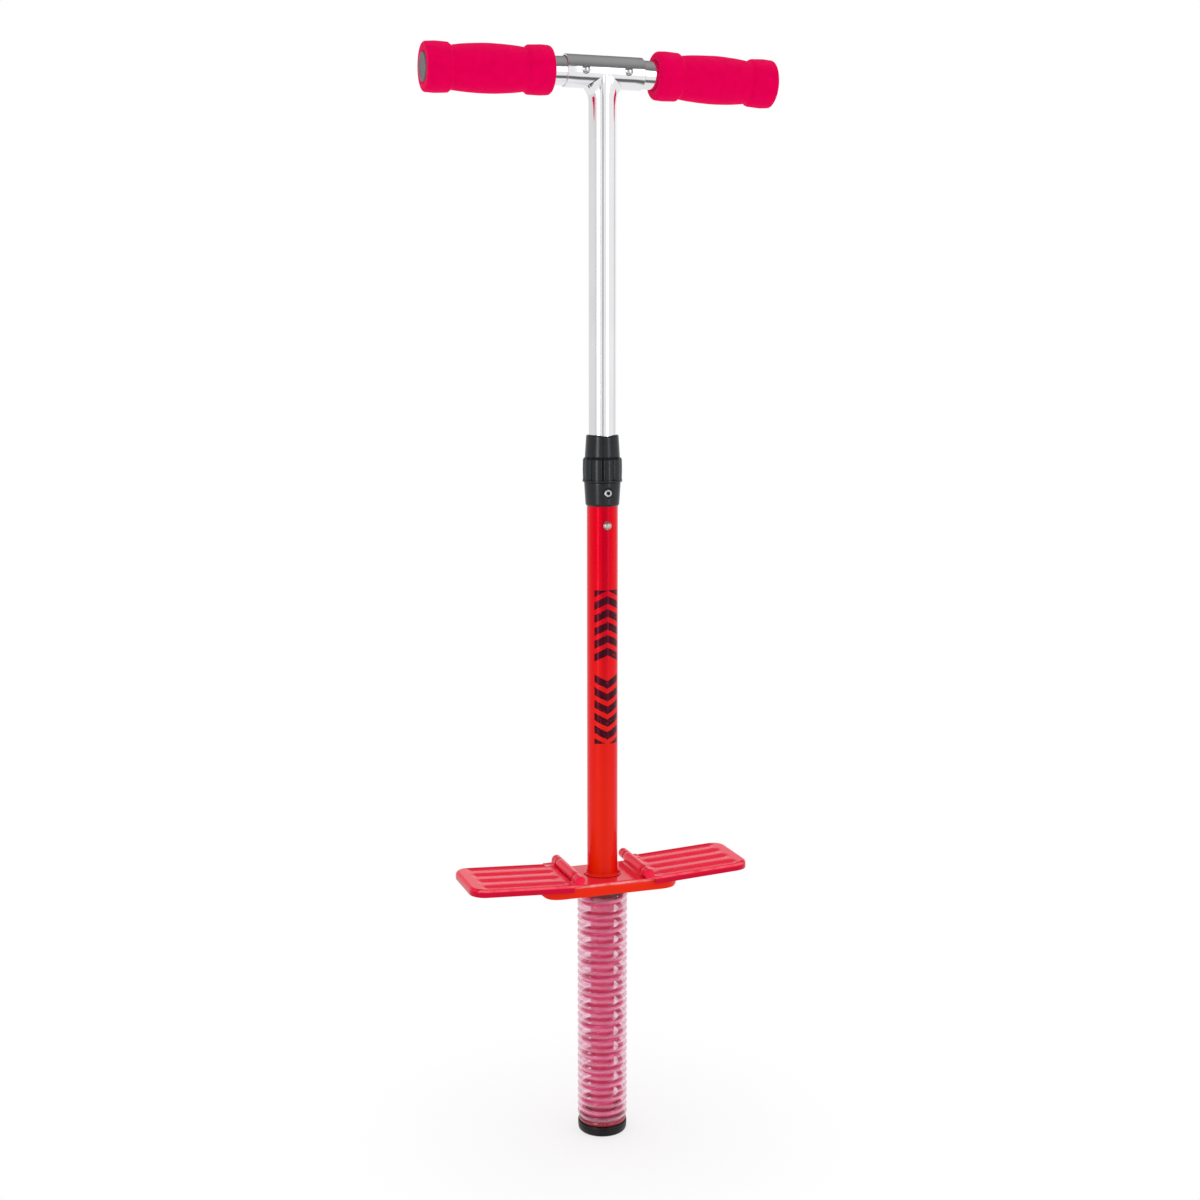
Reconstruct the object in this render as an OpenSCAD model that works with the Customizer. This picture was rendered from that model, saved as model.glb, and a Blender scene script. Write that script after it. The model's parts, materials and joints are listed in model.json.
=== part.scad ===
// Child's pogo stick: telescoping T handle, twist-lock collar, fold-up pedals,
// and a coil spring around the sliding shaft inside a clear corrugated sleeve.
// Origin: centre of the foot's flat underside. +Z up, handle along X, front is -Y.

/* [Overall] */
// Height of the handle's axis above the ground
handle_z = 878.5; // [868:0.5:900]
// Height of the base plate's top face
base_z = 227; // [225:0.5:229]
// Height of the collar's lower rim
collar_z = 537.2; // [530:0.1:540]

/* [Main tube] */
// Outside diameter of the main tube
tube_d = 25.4; // [25.4:0.1:25.6]
// Wall of the main tube, the stem and the grip bars
tube_wall = 1.5; // [1.5:0.05:1.6]
// How far the main tube reaches below the base plate's top face
tube_below_base = 19; // [18:0.5:20]

/* [Handle] */
// Outside diameter of the stem and of the two grip bars
stem_d = 22.2; // [22.1:0.05:22.2]
// How far the stem reaches down inside the main tube below the collar's lower rim
stem_insert = 62; // [60:1:65]
// Length of the crossbar that the grip bars plug into
crossbar_len = 64; // [60:1:68]
// Wall of the crossbar
crossbar_wall = 1.2; // [1:0.1:1.2]
// How far each grip bar droops in its loose socket, in degrees
bar_droop = 1.2; // [0:0.1:1.2]
// Distance from the middle to the outer end of each grip bar
bar_out = 143; // [143:1:147]
// Distance from the middle to the inner end of each grip bar
bar_in = 4; // [4:0.5:8]
// Length of the visible weld on the stem below the crossbar
weld_h = 10; // [6:1:12]

/* [Foam grips] */
// Distance from the middle to the inner end of each foam grip
grip_in = 43; // [41:1:43]
// Length of each foam grip
grip_len = 101.6; // [94:0.2:102]
// Diameter of the round flange at each end of a grip
flange_d = 38.5; // [36:0.5:42]
// Length of each flange
flange_len = 19; // [14:1:24]
// Diameter of the grip in the groove beside each flange
neck_d = 33; // [30:0.5:35]
// Largest diameter of the crowned middle
crown_d = 37.6; // [36:0.1:40]

/* [Snap buttons] */
// Diameter of a snap button
button_d = 6.9; // [6:0.1:7.2]
// How far a button's dome stands out of its tube
button_proud = 2; // [1.6:0.1:2.2]
// Distance of the two handle buttons from the middle
button_x = 17.7; // [16:0.1:19]
// How far the height button sits below the collar's lower rim
button_drop = 15.4; // [14:0.1:18]
// Thickness of the sprung clip behind each button
clip_t = 0.8; // [0.6:0.1:1]
// Width of the sprung clip
clip_w = 8; // [7.5:0.5:8]

/* [Collar] */
// Outside diameter of the collar at its lower rim
collar_low_d = 28; // [27.2:0.1:28.4]
// Outside diameter of the collar just below the twist ring
collar_mid_d = 29.7; // [29:0.1:30]
// Outside diameter of the collar just above the twist ring
collar_top_d = 28.5; // [28:0.1:29]
// Outside diameter of the collar's upper rim
collar_rim_d = 26.6; // [26:0.1:27]
// Height of the part below the twist ring
collar_low_h = 19.3; // [18:0.1:20]
// Height of the twist ring
ring_h = 20.2; // [18:0.1:21]
// Outside diameter of the twist ring
ring_d = 33; // [32:0.1:34]
// Number of grooves around the twist ring
ring_grooves = 10; // [8:1:16]
// Height of the part above the twist ring
collar_top_h = 18.1; // [17:0.1:20]
// Depth of the dip in the front of the upper rim
rim_dip = 3; // [1:0.5:4]

/* [Base and hinges] */
// Length of the base plate along X
base_len = 123; // [122:1:130]
// Width of the base plate
base_w = 57.5; // [56:0.5:58]
// Depth of the base plate's down-turned edge
base_depth = 10; // [8:0.5:11]
// Thickness of the pressed steel
steel_t = 1.8; // [1.6:0.1:2]
// Distance of each hinge axis from the middle
hinge_x = 30.3; // [29:0.1:31]
// Height of the hinge axes above the base plate
hinge_up = 5.3; // [5.3:0.1:5.8]
// Outside diameter of the hinge barrels
barrel_d = 8.5; // [8:0.5:8.5]
// Diameter of the hinge pins
pin_d = 5; // [4:0.5:5]

/* [Pedals] */
// Distance from the middle to the outer edge of each pedal
pedal_out = 121; // [120:0.5:126]
// Distance from the middle to the inner edge of each pedal's tread
pedal_in = 35; // [35:0.5:36]
// Width of each pedal
pedal_w = 65.5; // [65.5:0.5:70]
// Depth of each pedal's down-turned edge
pedal_depth = 6.5; // [6:0.5:8]
// Upward tilt of each pedal towards its outer end, in degrees
pedal_tilt = 3; // [2:0.5:4]
// Number of long grooves pressed in each tread
tread_grooves = 4; // [1:1:4]

/* [Shaft and foot] */
// Outside diameter of the sliding shaft
shaft_d = 20; // [19.5:0.1:20]
// Height of the rubber foot
foot_h = 9.2; // [9:0.1:10]
// Outside diameter of the rubber foot
foot_d = 41.6; // [40:0.2:44]
// Height of the shaft's top end
shaft_top = 285; // [284:1:287]

/* [Spring and sleeve] */
// Outside diameter of the coil spring
spring_d = 36; // [35:0.5:36]
// Diameter of the spring wire
wire_d = 4.5; // [4:0.1:4.5]
// Number of working coils
coils = 13.6; // [10:0.1:14]
// Outside diameter of the clear sleeve over its ribs
sleeve_d = 42.4; // [42:0.1:44]
// Depth of the sleeve's corrugation
rib_depth = 1.4; // [0.8:0.1:1.4]
// Number of ribs below the plain cuff
ribs = 30; // [20:1:34]

/* [Hidden] */
$fn = 96;
cut = 1;            // overshoot of a cutting body past the face it cuts
slip = 0.05;        // radial clearance of a running fit
seat = 0.02;        // gap between pieces that are fixed to each other
tube_r = tube_d / 2;
tube_in_r = tube_r - tube_wall;
stem_r = stem_d / 2;
stem_in_r = stem_r - tube_wall;
shaft_r = shaft_d / 2;
shaft_in_r = shaft_r - tube_wall;

// Heights of the tubes
tube_past_ring = 1.3; // the main tube ends this far above the twist ring
tube_low = base_z - tube_below_base;
tube_top = collar_z + collar_low_h + ring_h + tube_past_ring;
stem_low = collar_z - stem_insert;
button_z = collar_z - button_drop;

// Snap buttons
button_r = button_d / 2;
button_hole_r = button_r + 2 * slip;
button_tip = tube_r + button_proud;
dome_r = (button_r * button_r + button_proud * button_proud) / (2 * button_proud);
clip_out = 8.6;     // distance from the tube's axis to the outside of a clip's leg
clip_leg = 27;      // length of a clip's straight legs past its bend
clip_past = 5.5;    // length of the leg beyond its button
tail_r = 1.5;       // radius of the riveted tail behind a button
tail_len = 1.6;

// Collar
ring_z = collar_z + collar_low_h;
top_z = ring_z + ring_h;
rim_z = top_z + collar_top_h;
neck_r = 13.95;     // radius of the neck that the twist ring turns on
ring_gap = 0.15;    // end play of the twist ring
groove_r = 2.2;      // radius of a groove's cutter ...
groove_out = 1.2;    // ... whose axis is this far outside the ring
collet_r = 12.2;
collet_low = tube_top + 4 * slip;
collet_h = 13;
slit_w = 1.2;
screw_z = collar_z + 11;
screw_head_r = 3.2;
screw_r = 1.6;
screw_seat_y = 13.3; // distance of the recess's floor from the tube's axis
screw_gap = 0.5;     // radial gap between the screw's head and its recess
screw_tip_y = 11.3;  // distance of the screw's tip from the tube's axis
socket_r = 1.7;
socket_floor = 0.4;  // thickness of the head under its socket

// Base plate, hinges and pedals
hinge_z = base_z + hinge_up;
barrel_r = barrel_d / 2;
pin_r = pin_d / 2;
barrel_half = 21.5; // half the length of the barrel that stands on the base plate
knuckle_in = 22;    // the pedal's knuckles run from here ...
knuckle_out = 32.5; // ... to here, on both sides of the middle
web_t = 7;
web_ease = 0.3;     // a knuckle's web stays this far inside its barrel
pin_head_r = 3.8;
pin_head_h = 1.5;
pin_dome_r = 6;
base_corner = 18;
base_end_r = 8;
pedal_corner = 12;
tread_gap = 0.5;    // gap between the base plate and a pedal's tread at the hinge
tread_low = base_z + tread_gap;
tread_top = tread_low + steel_t;
bead_x = 52;        // distance of the base plate's stop beads from the middle
bead_r = 4;
bead_half = 15;
bead_gap = 0.15;
groove_pitch = 16.5;
groove_cut_r = 5;
groove_depth = 1;
groove_from = 42;
groove_to = 110;
knuckle_foot = 1;   // a knuckle's foot starts this far inside its hinge axis ...
knuckle_run = 8;    // ... and joins the tread along this length

// Spring, seats, bushes and sleeve
seat_disc = 2.5;
low_seat_r = 20.2;
low_seat_t = 3.8;
low_seat_top = foot_h + low_seat_t;
up_seat_drop = 15;  // the upper seat's face is this far below the base plate's top
up_seat_low = base_z - up_seat_drop;
up_seat_r = 20.5;
up_hub_r = 15.5;
spring_mid_r = (spring_d - wire_d) / 2;
centring_gap = 0.3; // gap between the spring and the boss that centres it
centring_r = spring_mid_r - wire_d / 2 - centring_gap;
centring_h = 5;
end_gap = 0.1;
spring_low = low_seat_top + end_gap;
spring_len = up_seat_low - end_gap - spring_low;
wire_sides = 8;
coil_steps = 28;
end_pitch = 1.05 * wire_d;
work_pitch = (spring_len - wire_d - 2 * end_pitch) / coils;
sleeve_wall = 0.7;
cuff_h = 7;
cuff_in = 0.2;      // the cuff lies this far inside the ribs' crests
cuff_ease = 1;      // height of the slope at each end of the cuff
cuff_top_ribs = 1;
bush_top = base_z + 26;
bush_flange = 3;
flange_in = 0.2;    // the bush's flange stays this far inside the tube's outside
ring_top = bush_top + 6;
top_bush_h = 24;
rivet_r = 2;
shaft_low = 4;
plug_h = 5;

// A tube along +Z with its lower end at the origin
module pipe(r_out, r_in, h) {
  difference() {
    cylinder(r = r_out, h = h);
    translate([0, 0, -cut]) cylinder(r = r_in, h = h + 2 * cut);
  }
}

// A rectangle from corner a to corner b with all corners rounded
module round_rect(a, b, r) {
  translate([a[0] + r, a[1]]) square([b[0] - a[0] - 2 * r, b[1] - a[1]]);
  translate([a[0], a[1] + r]) square([b[0] - a[0], b[1] - a[1] - 2 * r]);
  for (x = [a[0] + r, b[0] - r], y = [a[1] + r, b[1] - r]) translate([x, y]) circle(r = r);
}

// Turns a body made along +Z to point along -Y
module to_front() {
  rotate([90, 0, 0]) children();
}

// Turns a body made along +Z to point along +X
module to_right() {
  rotate([0, 90, 0]) children();
}

// A front-facing button hole through one wall, centred on the origin's Y axis
module button_hole(r) {
  to_front() translate([0, 0, stem_in_r / 2]) cylinder(r = r, h = tube_r);
}

// Main tube, open at both ends, with the height button's hole in front
module main_tube() {
  color("crimson") difference() {
    translate([0, 0, tube_low]) pipe(tube_r, tube_in_r, tube_top - tube_low);
    translate([0, 0, button_z]) button_hole(button_hole_r);
    translate([0, 0, screw_z]) button_hole(screw_r + slip);
  }
}

// Height of a tilted pedal's underside at distance x from the middle
function pedal_under(x) =
  hinge_z + (x - hinge_x) * tan(pedal_tilt) - (hinge_z - tread_low) / cos(pedal_tilt);

// Pressed pan that carries the pedals, with its hinge barrels and stop beads
module base_plate() {
  low = base_z - base_depth;
  color("crimson") difference() {
    union() {
      difference() {
        intersection() {
          translate([0, 0, low]) linear_extrude(base_depth)
            round_rect([-base_len / 2, -base_w / 2], [base_len / 2, base_w / 2], base_corner);
          rotate([90, 0, 0]) translate([0, 0, -base_w]) linear_extrude(2 * base_w)
            round_rect([-base_len / 2, low], [base_len / 2, base_z + base_end_r], base_end_r);
        }
        translate([0, 0, low - cut]) linear_extrude(base_depth + cut - steel_t)
          round_rect([steel_t - base_len / 2, steel_t - base_w / 2],
                     [base_len / 2 - steel_t, base_w / 2 - steel_t], base_corner - steel_t);
      }
      for (side = [-1, 1]) {
        translate([side * hinge_x, barrel_half, hinge_z]) to_front()
          cylinder(r = barrel_r, h = 2 * barrel_half);
        translate([side * hinge_x - web_t / 2, -barrel_half, base_z - steel_t / 2])
          cube([web_t, 2 * barrel_half, hinge_up + steel_t / 2]);
        stop_bead(side * bead_x);
      }
    }
    translate([0, 0, low]) cylinder(r = tube_r + seat, h = 2 * base_depth);
    for (side = [-1, 1])
      translate([side * hinge_x, base_w, hinge_z]) to_front()
        cylinder(r = pin_r + seat, h = 2 * base_w);
  }
}

// Low bead across the base plate that a pedal rests on
module stop_bead(x) {
  top = pedal_under(abs(x)) - bead_gap;
  intersection() {
    translate([x, bead_half, top - bead_r]) to_front() cylinder(r = bead_r, h = 2 * bead_half);
    translate([x - bead_r, -base_w / 2, base_z - steel_t / 2]) cube([2 * bead_r, base_w, bead_r]);
  }
}

// Weld fillet between the main tube and the base plate
module base_weld() {
  leg = 2.8;
  hollow = 0.95;      // radius of the weld's hollow face, as a share of its leg
  color("crimson") rotate_extrude() difference() {
    translate([tube_r + seat, base_z + seat]) square(leg);
    translate([tube_r + seat + leg, base_z + seat + leg]) circle(r = leg * hollow);
  }
}

// Hinge pin with a domed head at each end
module hinge_pin(side) {
  head_in = knuckle_out + 2 * slip + pin_head_h / 2;
  color("firebrick") translate([side * hinge_x, 0, hinge_z]) {
    translate([0, head_in, 0]) to_front() cylinder(r = pin_r, h = 2 * head_in);
    for (end = [-1, 1]) rotate([-90 * end, 0, 0]) translate([0, 0, knuckle_out + 2 * slip])
      intersection() {
        cylinder(r = pin_head_r, h = pin_head_h);
        translate([0, 0, pin_head_h - pin_dome_r]) sphere(r = pin_dome_r);
      }
  }
}

// Pressed pedal for the +X side, with knuckles on its inner end
module pedal_right() {
  low = tread_top - pedal_depth;
  half = pedal_w / 2;
  translate([hinge_x, 0, hinge_z]) rotate([0, -pedal_tilt, 0]) translate([-hinge_x, 0, -hinge_z])
    difference() {
      union() {
        difference() {
          translate([0, 0, low]) linear_extrude(pedal_depth)
            pedal_outline(pedal_in, pedal_out, half, pedal_corner);
          translate([0, 0, low - cut]) linear_extrude(pedal_depth + cut - steel_t)
            pedal_outline(pedal_in - cut, pedal_out - steel_t, half - steel_t,
                          pedal_corner - steel_t);
          for (i = [0 : tread_grooves - 1]) tread_groove((i - (tread_grooves - 1) / 2) * groove_pitch);
        }
        for (side = [-1, 1]) translate([0, side * (knuckle_in + knuckle_out) / 2, 0])
          pedal_knuckle(knuckle_out - knuckle_in);
      }
      translate([hinge_x, pedal_w, hinge_z]) to_front() cylinder(r = pin_r + slip, h = 2 * pedal_w);
    }
}

// Plan outline of a pedal: square inner end, rounded outer corners
module pedal_outline(from, to, half, r) {
  translate([from, -half]) square([to - from - r, 2 * half]);
  translate([from, r - half]) square([to - from, 2 * (half - r)]);
  for (side = [-1, 1]) translate([to - r, side * (half - r)]) circle(r = r);
}

// One long groove along the tread at height y across it
module tread_groove(y) {
  translate([groove_from, y, tread_top + groove_cut_r - groove_depth]) to_right()
    cylinder(r = groove_cut_r, h = groove_to - groove_from);
}

// Knuckle of length w that joins a pedal's tread to its pin
module pedal_knuckle(w) {
  rotate([90, 0, 0]) translate([0, 0, -w / 2]) linear_extrude(w) {
    translate([hinge_x, hinge_z]) circle(r = barrel_r);
    polygon([
      [hinge_x - knuckle_foot, tread_low], [pedal_in + knuckle_run, tread_low],
      [pedal_in + knuckle_run, tread_top], [hinge_x + barrel_r, hinge_z],
      [hinge_x - barrel_r + web_ease, hinge_z]
    ]);
  }
}

// Ring welded under the base plate that the spring pushes against
module upper_spring_seat() {
  color("dimgray") difference() {
    union() {
      translate([0, 0, up_seat_low]) cylinder(r = up_seat_r, h = seat_disc);
      translate([0, 0, up_seat_low]) cylinder(r = up_hub_r, h = base_z - steel_t - seat - up_seat_low);
    }
    translate([0, 0, up_seat_low - cut]) cylinder(r = tube_r + seat, h = base_z);
  }
}

// Plastic bush in the tube's lower end that the shaft slides through
module guide_bush() {
  color("whitesmoke") difference() {
    union() {
      translate([0, 0, tube_low]) cylinder(r = tube_in_r - seat, h = bush_top - tube_low);
      translate([0, 0, tube_low - bush_flange]) cylinder(r = tube_r - flange_in, h = bush_flange - seat);
      translate([0, 0, tube_low - 2 * seat]) cylinder(r = tube_in_r - seat, h = 4 * seat);
    }
    translate([0, 0, tube_low - bush_flange - cut]) cylinder(r = shaft_r + slip, h = base_z);
  }
}

// Lower collar piece, screwed to the main tube, with the neck the twist ring turns on
module collar_body() {
  color("#333436") difference() {
    union() {
      translate([0, 0, collar_z])
        cylinder(r1 = collar_low_d / 2, r2 = collar_mid_d / 2, h = collar_low_h);
      translate([0, 0, ring_z]) cylinder(r = neck_r, h = ring_h - seat);
    }
    translate([0, 0, collar_z - cut]) cylinder(r = tube_r + seat, h = rim_z - collar_z);
    translate([0, 0, screw_z]) to_front() translate([0, 0, screw_seat_y])
      cylinder(r = screw_head_r + screw_gap, h = tube_r);
    translate([0, 0, screw_z]) button_hole(screw_r + slip);
  }
}

// Round-headed screw with a socket that fixes the collar
module collar_screw() {
  head_h = 1.3;
  color("slategray") translate([0, 0, screw_z]) to_front() difference() {
    union() {
      translate([0, 0, screw_tip_y]) cylinder(r = screw_r, h = screw_seat_y + head_h - screw_tip_y);
      translate([0, 0, screw_seat_y + seat]) cylinder(r = screw_head_r, h = head_h);
    }
    translate([0, 0, screw_seat_y + seat + socket_floor]) cylinder(r = socket_r, h = head_h);
  }
}

// Grooved ring that is turned to clamp and free the stem
module twist_ring() {
  h = ring_h - 2 * ring_gap;
  color("#2b2c2e") translate([0, 0, ring_z + ring_gap]) difference() {
    cylinder(r = ring_d / 2, h = h);
    translate([0, 0, -cut]) cylinder(r = neck_r + slip, h = h + 2 * cut);
    for (i = [0 : ring_grooves - 1]) rotate([0, 0, i * 360 / ring_grooves])
      translate([ring_d / 2 + groove_out, 0, -cut]) cylinder(r = groove_r, h = h + 2 * cut);
  }
}

// Tapered upper collar piece around the collet, with a dip in its front rim
module collar_top() {
  dip_r = 12;         // radius of the round cutter that makes the dip
  color("#3a3b3d") difference() {
    translate([0, 0, top_z]) cylinder(r1 = collar_top_d / 2, r2 = collar_rim_d / 2, h = collar_top_h);
    translate([0, 0, top_z - cut]) cylinder(r = tube_r + seat, h = tube_top + seat - top_z + cut);
    translate([0, 0, top_z]) cylinder(r = collet_r + seat, h = collet_low + collet_h + 4 * slip - top_z);
    translate([0, 0, top_z]) cylinder(r = stem_r + slip, h = collar_top_h + cut);
    translate([0, 0, rim_z + dip_r - rim_dip]) to_front() cylinder(r = dip_r, h = ring_d);
  }
}

// Split plastic sleeve that is squeezed onto the stem
module collet() {
  color("gainsboro") translate([0, 0, collet_low]) difference() {
    pipe(collet_r, stem_r + slip, collet_h);
    for (a = [0, 90]) rotate([0, 0, a])
      translate([-tube_r, -slit_w / 2, collet_h / 3]) cube([2 * tube_r, slit_w, collet_h]);
  }
}

// Telescoping stem, shaped at its top to meet the crossbar
module handle_stem() {
  color("silver") difference() {
    translate([0, 0, stem_low]) pipe(stem_r, stem_in_r, handle_z - stem_low);
    translate([-crossbar_len / 2, 0, handle_z]) to_right()
      cylinder(r = tube_r + seat, h = crossbar_len);
    translate([0, 0, button_z]) button_hole(button_hole_r);
  }
}

// Plastic end fitting that keeps the stem centred in the main tube
module stem_end_bush() {
  flange = 3;
  stub = 9;
  wall = 2.2;
  color("whitesmoke") translate([0, 0, stem_low]) difference() {
    union() {
      translate([0, 0, -flange - seat]) cylinder(r = tube_in_r - slip, h = flange);
      translate([0, 0, -flange - seat]) cylinder(r = stem_in_r - seat, h = flange + stub);
    }
    translate([0, 0, -flange - cut]) cylinder(r = stem_in_r - wall, h = flange + stub + 2 * cut);
  }
}

// Crossbar tube with softly rounded ends and a button hole near each end
module handle_crossbar() {
  round_r = 0.5;
  half = crossbar_len / 2;
  color("silver") translate([0, 0, handle_z]) difference() {
    to_right() rotate_extrude() round_rect([tube_r - crossbar_wall, -half], [tube_r, half], round_r);
    for (side = [-1, 1]) translate([side * button_x, 0, 0]) button_hole(button_hole_r);
  }
}

// Flared weld under the crossbar
module crossbar_weld() {
  reach = 4.5;        // how far the weld spreads out from the stem
  toe = 0.3;          // thickness of the weld at its lower edge
  side_in = 1;        // the weld stays this far inside the crossbar's width
  low = handle_z - tube_r - weld_h;
  color("lightgray") difference() {
    intersection() {
      rotate_extrude() difference() {
        translate([stem_r + seat, low]) square([reach, weld_h + tube_r / 2]);
        translate([stem_r + seat + weld_h, low]) circle(r = weld_h - toe);
      }
      translate([-tube_d, side_in - tube_r, low]) cube([2 * tube_d, tube_d - 2 * side_in, 2 * tube_d]);
    }
    translate([-crossbar_len / 2, 0, handle_z]) to_right()
      cylinder(r = tube_r + seat, h = crossbar_len);
  }
}

// Places a piece of the +X grip, made along +X from the middle, with the bar's droop
module drooped() {
  translate([button_x, 0, handle_z]) rotate([0, bar_droop, 0]) translate([-button_x, 0, 0]) children();
}

// Grip bar on the +X side
module grip_bar_right() {
  drooped() difference() {
    translate([bar_in, 0, 0]) to_right() pipe(stem_r, stem_in_r, bar_out - bar_in);
    translate([button_x, 0, 0]) button_hole(button_hole_r);
  }
}

// Foam grip on the +X side: a flange at each end, a groove beside it, a crowned middle
module foam_grip_right() {
  neck_len = 4;
  flange_round = 3;
  crown_half = grip_len / 2 - flange_len - neck_len;
  rise = (crown_d - neck_d) / 2;
  crown_arc = (crown_half * crown_half + rise * rise) / (2 * rise);
  drooped() translate([grip_in, 0, 0]) to_right() difference() {
    rotate_extrude() {
      square([neck_d / 2, grip_len]);
      intersection() {
        translate([crown_d / 2 - crown_arc, grip_len / 2]) circle(r = crown_arc, $fn = 720);
        translate([0, flange_len]) square([crown_d / 2, grip_len - 2 * flange_len]);
      }
      for (y = [0, grip_len - flange_len])
        round_rect([flange_round, y], [flange_d / 2, y + flange_len], flange_round);
    }
    translate([0, 0, -cut]) cylinder(r = stem_r + seat, h = grip_len + 2 * cut);
  }
}

// Plastic plug in the outer end of the +X grip bar
module end_plug_right() {
  face = 2.4;
  edge_r = 1;
  stub = 14;
  drooped() translate([bar_out, 0, 0]) to_right() {
    translate([0, 0, seat]) rotate_extrude() intersection() {
      round_rect([-stem_r, -face], [stem_r, face], edge_r);
      square([stem_r, face]);
    }
    translate([0, 0, seat - stub]) cylinder(r = stem_in_r - seat, h = stub);
  }
}

// Bent spring strip inside a tube along +Z; its button sits at height z = 0
module button_clip() {
  to_front() difference() {
    rotate([0, 90, 0]) translate([0, 0, -clip_w / 2]) linear_extrude(clip_w) clip_outline();
    cylinder(r = tail_r + seat, h = 2 * clip_out);
  }
}

// Side outline of the clip: two legs joined by a half-round bend
module clip_outline() {
  bend = clip_past - clip_leg;
  for (side = [-1, 1]) translate([side * (clip_out - clip_t / 2) - clip_t / 2, bend])
    square([clip_t, clip_leg]);
  difference() {
    translate([0, bend]) circle(r = clip_out);
    translate([0, bend]) circle(r = clip_out - clip_t);
    translate([-clip_out, bend]) square([2 * clip_out, clip_out]);
  }
}

// Domed snap button facing the front, on a tube whose axis passes the origin
module snap_button() {
  color("gainsboro") to_front() {
    translate([0, 0, clip_out + seat]) intersection() {
      cylinder(r = button_r, h = button_tip - clip_out - seat);
      translate([0, 0, button_tip - clip_out - seat - dome_r]) sphere(r = dome_r);
    }
    translate([0, 0, clip_out + seat]) cylinder(r = button_r, h = tube_r - clip_out - seat);
    translate([0, 0, clip_out - tail_len]) cylinder(r = tail_r, h = tail_len + cut);
  }
}

// Sliding shaft
module shaft() {
  color("firebrick") difference() {
    translate([0, 0, shaft_low]) pipe(shaft_r, shaft_in_r, shaft_top - shaft_low);
    translate([-tube_r, 0, ring_top + top_bush_h / 2]) to_right()
      cylinder(r = rivet_r + seat, h = tube_d);
  }
}

// Plastic bush on the shaft's upper end, running in the main tube
module shaft_top_bush() {
  color("whitesmoke") difference() {
    translate([0, 0, ring_top]) pipe(tube_in_r - slip, shaft_r + seat, top_bush_h);
    translate([-tube_r, 0, ring_top + top_bush_h / 2]) to_right()
      cylinder(r = rivet_r + seat, h = tube_d);
  }
}

// Rivet through the bush and the shaft
module top_bush_rivet() {
  short = 0.5;        // the rivet's ends stay this far inside the main tube's bore
  half = tube_in_r - short;
  color("gray") translate([-half, 0, ring_top + top_bush_h / 2]) to_right()
    cylinder(r = rivet_r, h = 2 * half);
}

// Rubber ring that softens the return stroke
module rebound_ring() {
  loose = 0.3;        // radial clearance in the tube
  color("#202020") translate([0, 0, bush_top + slip])
    pipe(tube_in_r - loose, shaft_r + seat, ring_top - bush_top - 2 * slip);
}

// Disc that closes the shaft's lower end
module shaft_end_plug() {
  color("gray") translate([0, 0, shaft_low + seat]) cylinder(r = shaft_in_r - seat, h = plug_h);
}

// Cup on the shaft that carries the spring and stands on the foot
module lower_spring_seat() {
  color("#8c1020") difference() {
    union() {
      translate([0, 0, foot_h + seat]) cylinder(r = low_seat_r, h = low_seat_top - foot_h - seat);
      translate([0, 0, foot_h + seat]) cylinder(r = centring_r, h = low_seat_top - foot_h + centring_h);
    }
    cylinder(r = shaft_r + seat, h = shaft_top);
  }
}

// Rubber foot with a rounded lower edge, pushed onto the shaft's end
module foot_tip() {
  edge_r = 4;
  r = foot_d / 2;
  color("#1c1c1e") difference() {
    rotate_extrude() intersection() {
      round_rect([-r, 0], [r, foot_h + edge_r], edge_r);
      square([r, foot_h]);
    }
    translate([0, 0, shaft_low - seat]) cylinder(r = shaft_r + seat, h = foot_h);
  }
}

// Height of the wire's centre after t turns, measured from the spring's lower end
function wire_z(t) =
  wire_d / 2 + (t < 1 ? t * end_pitch
    : t < 1 + coils ? end_pitch + (t - 1) * work_pitch
    : end_pitch + coils * work_pitch + (t - 1 - coils) * end_pitch);

// Coil spring with one closed coil at each end
module spring() {
  turns = coils + 2;
  steps = round(turns * coil_steps);
  n = wire_sides;
  wire_r = wire_d / 2;
  points = [for (i = [0 : steps], j = [0 : n - 1])
    let (t = turns * i / steps, a = 360 * t, b = 360 * j / n, r = spring_mid_r + wire_r * cos(b))
    [r * cos(a), r * sin(a), wire_z(t) + wire_r * sin(b)]];
  sides = [for (i = [0 : steps - 1], j = [0 : n - 1], half = [0, 1])
    let (a = i * n + j, b = i * n + (j + 1) % n)
    half == 0 ? [a, b, b + n] : [a, b + n, a + n]];
  ends = [[for (j = [n - 1 : -1 : 0]) j], [for (j = [0 : n - 1]) steps * n + j]];
  color("slategray") translate([0, 0, spring_low]) polyhedron(points, concat(sides, ends));
}

// Clear corrugated sleeve with a plain cuff near its top
module spring_sleeve() {
  crest = sleeve_d / 2;
  valley = crest - rib_depth;
  low = low_seat_top + end_gap;
  high = up_seat_low - end_gap;
  pitch = (high - low - cuff_h) / (ribs + cuff_top_ribs);
  band = crest - cuff_in;
  low_cuff = low + ribs * pitch;
  wave = [[0, valley], [0.2, valley], [0.45, crest], [0.75, crest]];
  side = concat(
    [for (i = [0 : ribs - 1], w = wave) [w[1], low + (i + w[0]) * pitch]],
    [[valley, low_cuff], [band, low_cuff + cuff_ease], [band, low_cuff + cuff_h - cuff_ease]],
    [for (i = [0 : cuff_top_ribs - 1], w = wave) [w[1], low_cuff + cuff_h + (i + w[0]) * pitch]],
    [[valley, high]]
  );
  last = len(side) - 1;
  color("mistyrose", 0.5) rotate_extrude() polygon(concat(side,
    [for (i = [last : -1 : 0]) [side[i][0] - sleeve_wall, side[i][1]]]));
}

// Left-hand copies are mirror images of the right-hand pieces
module left() {
  mirror([1, 0, 0]) children();
}

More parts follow.
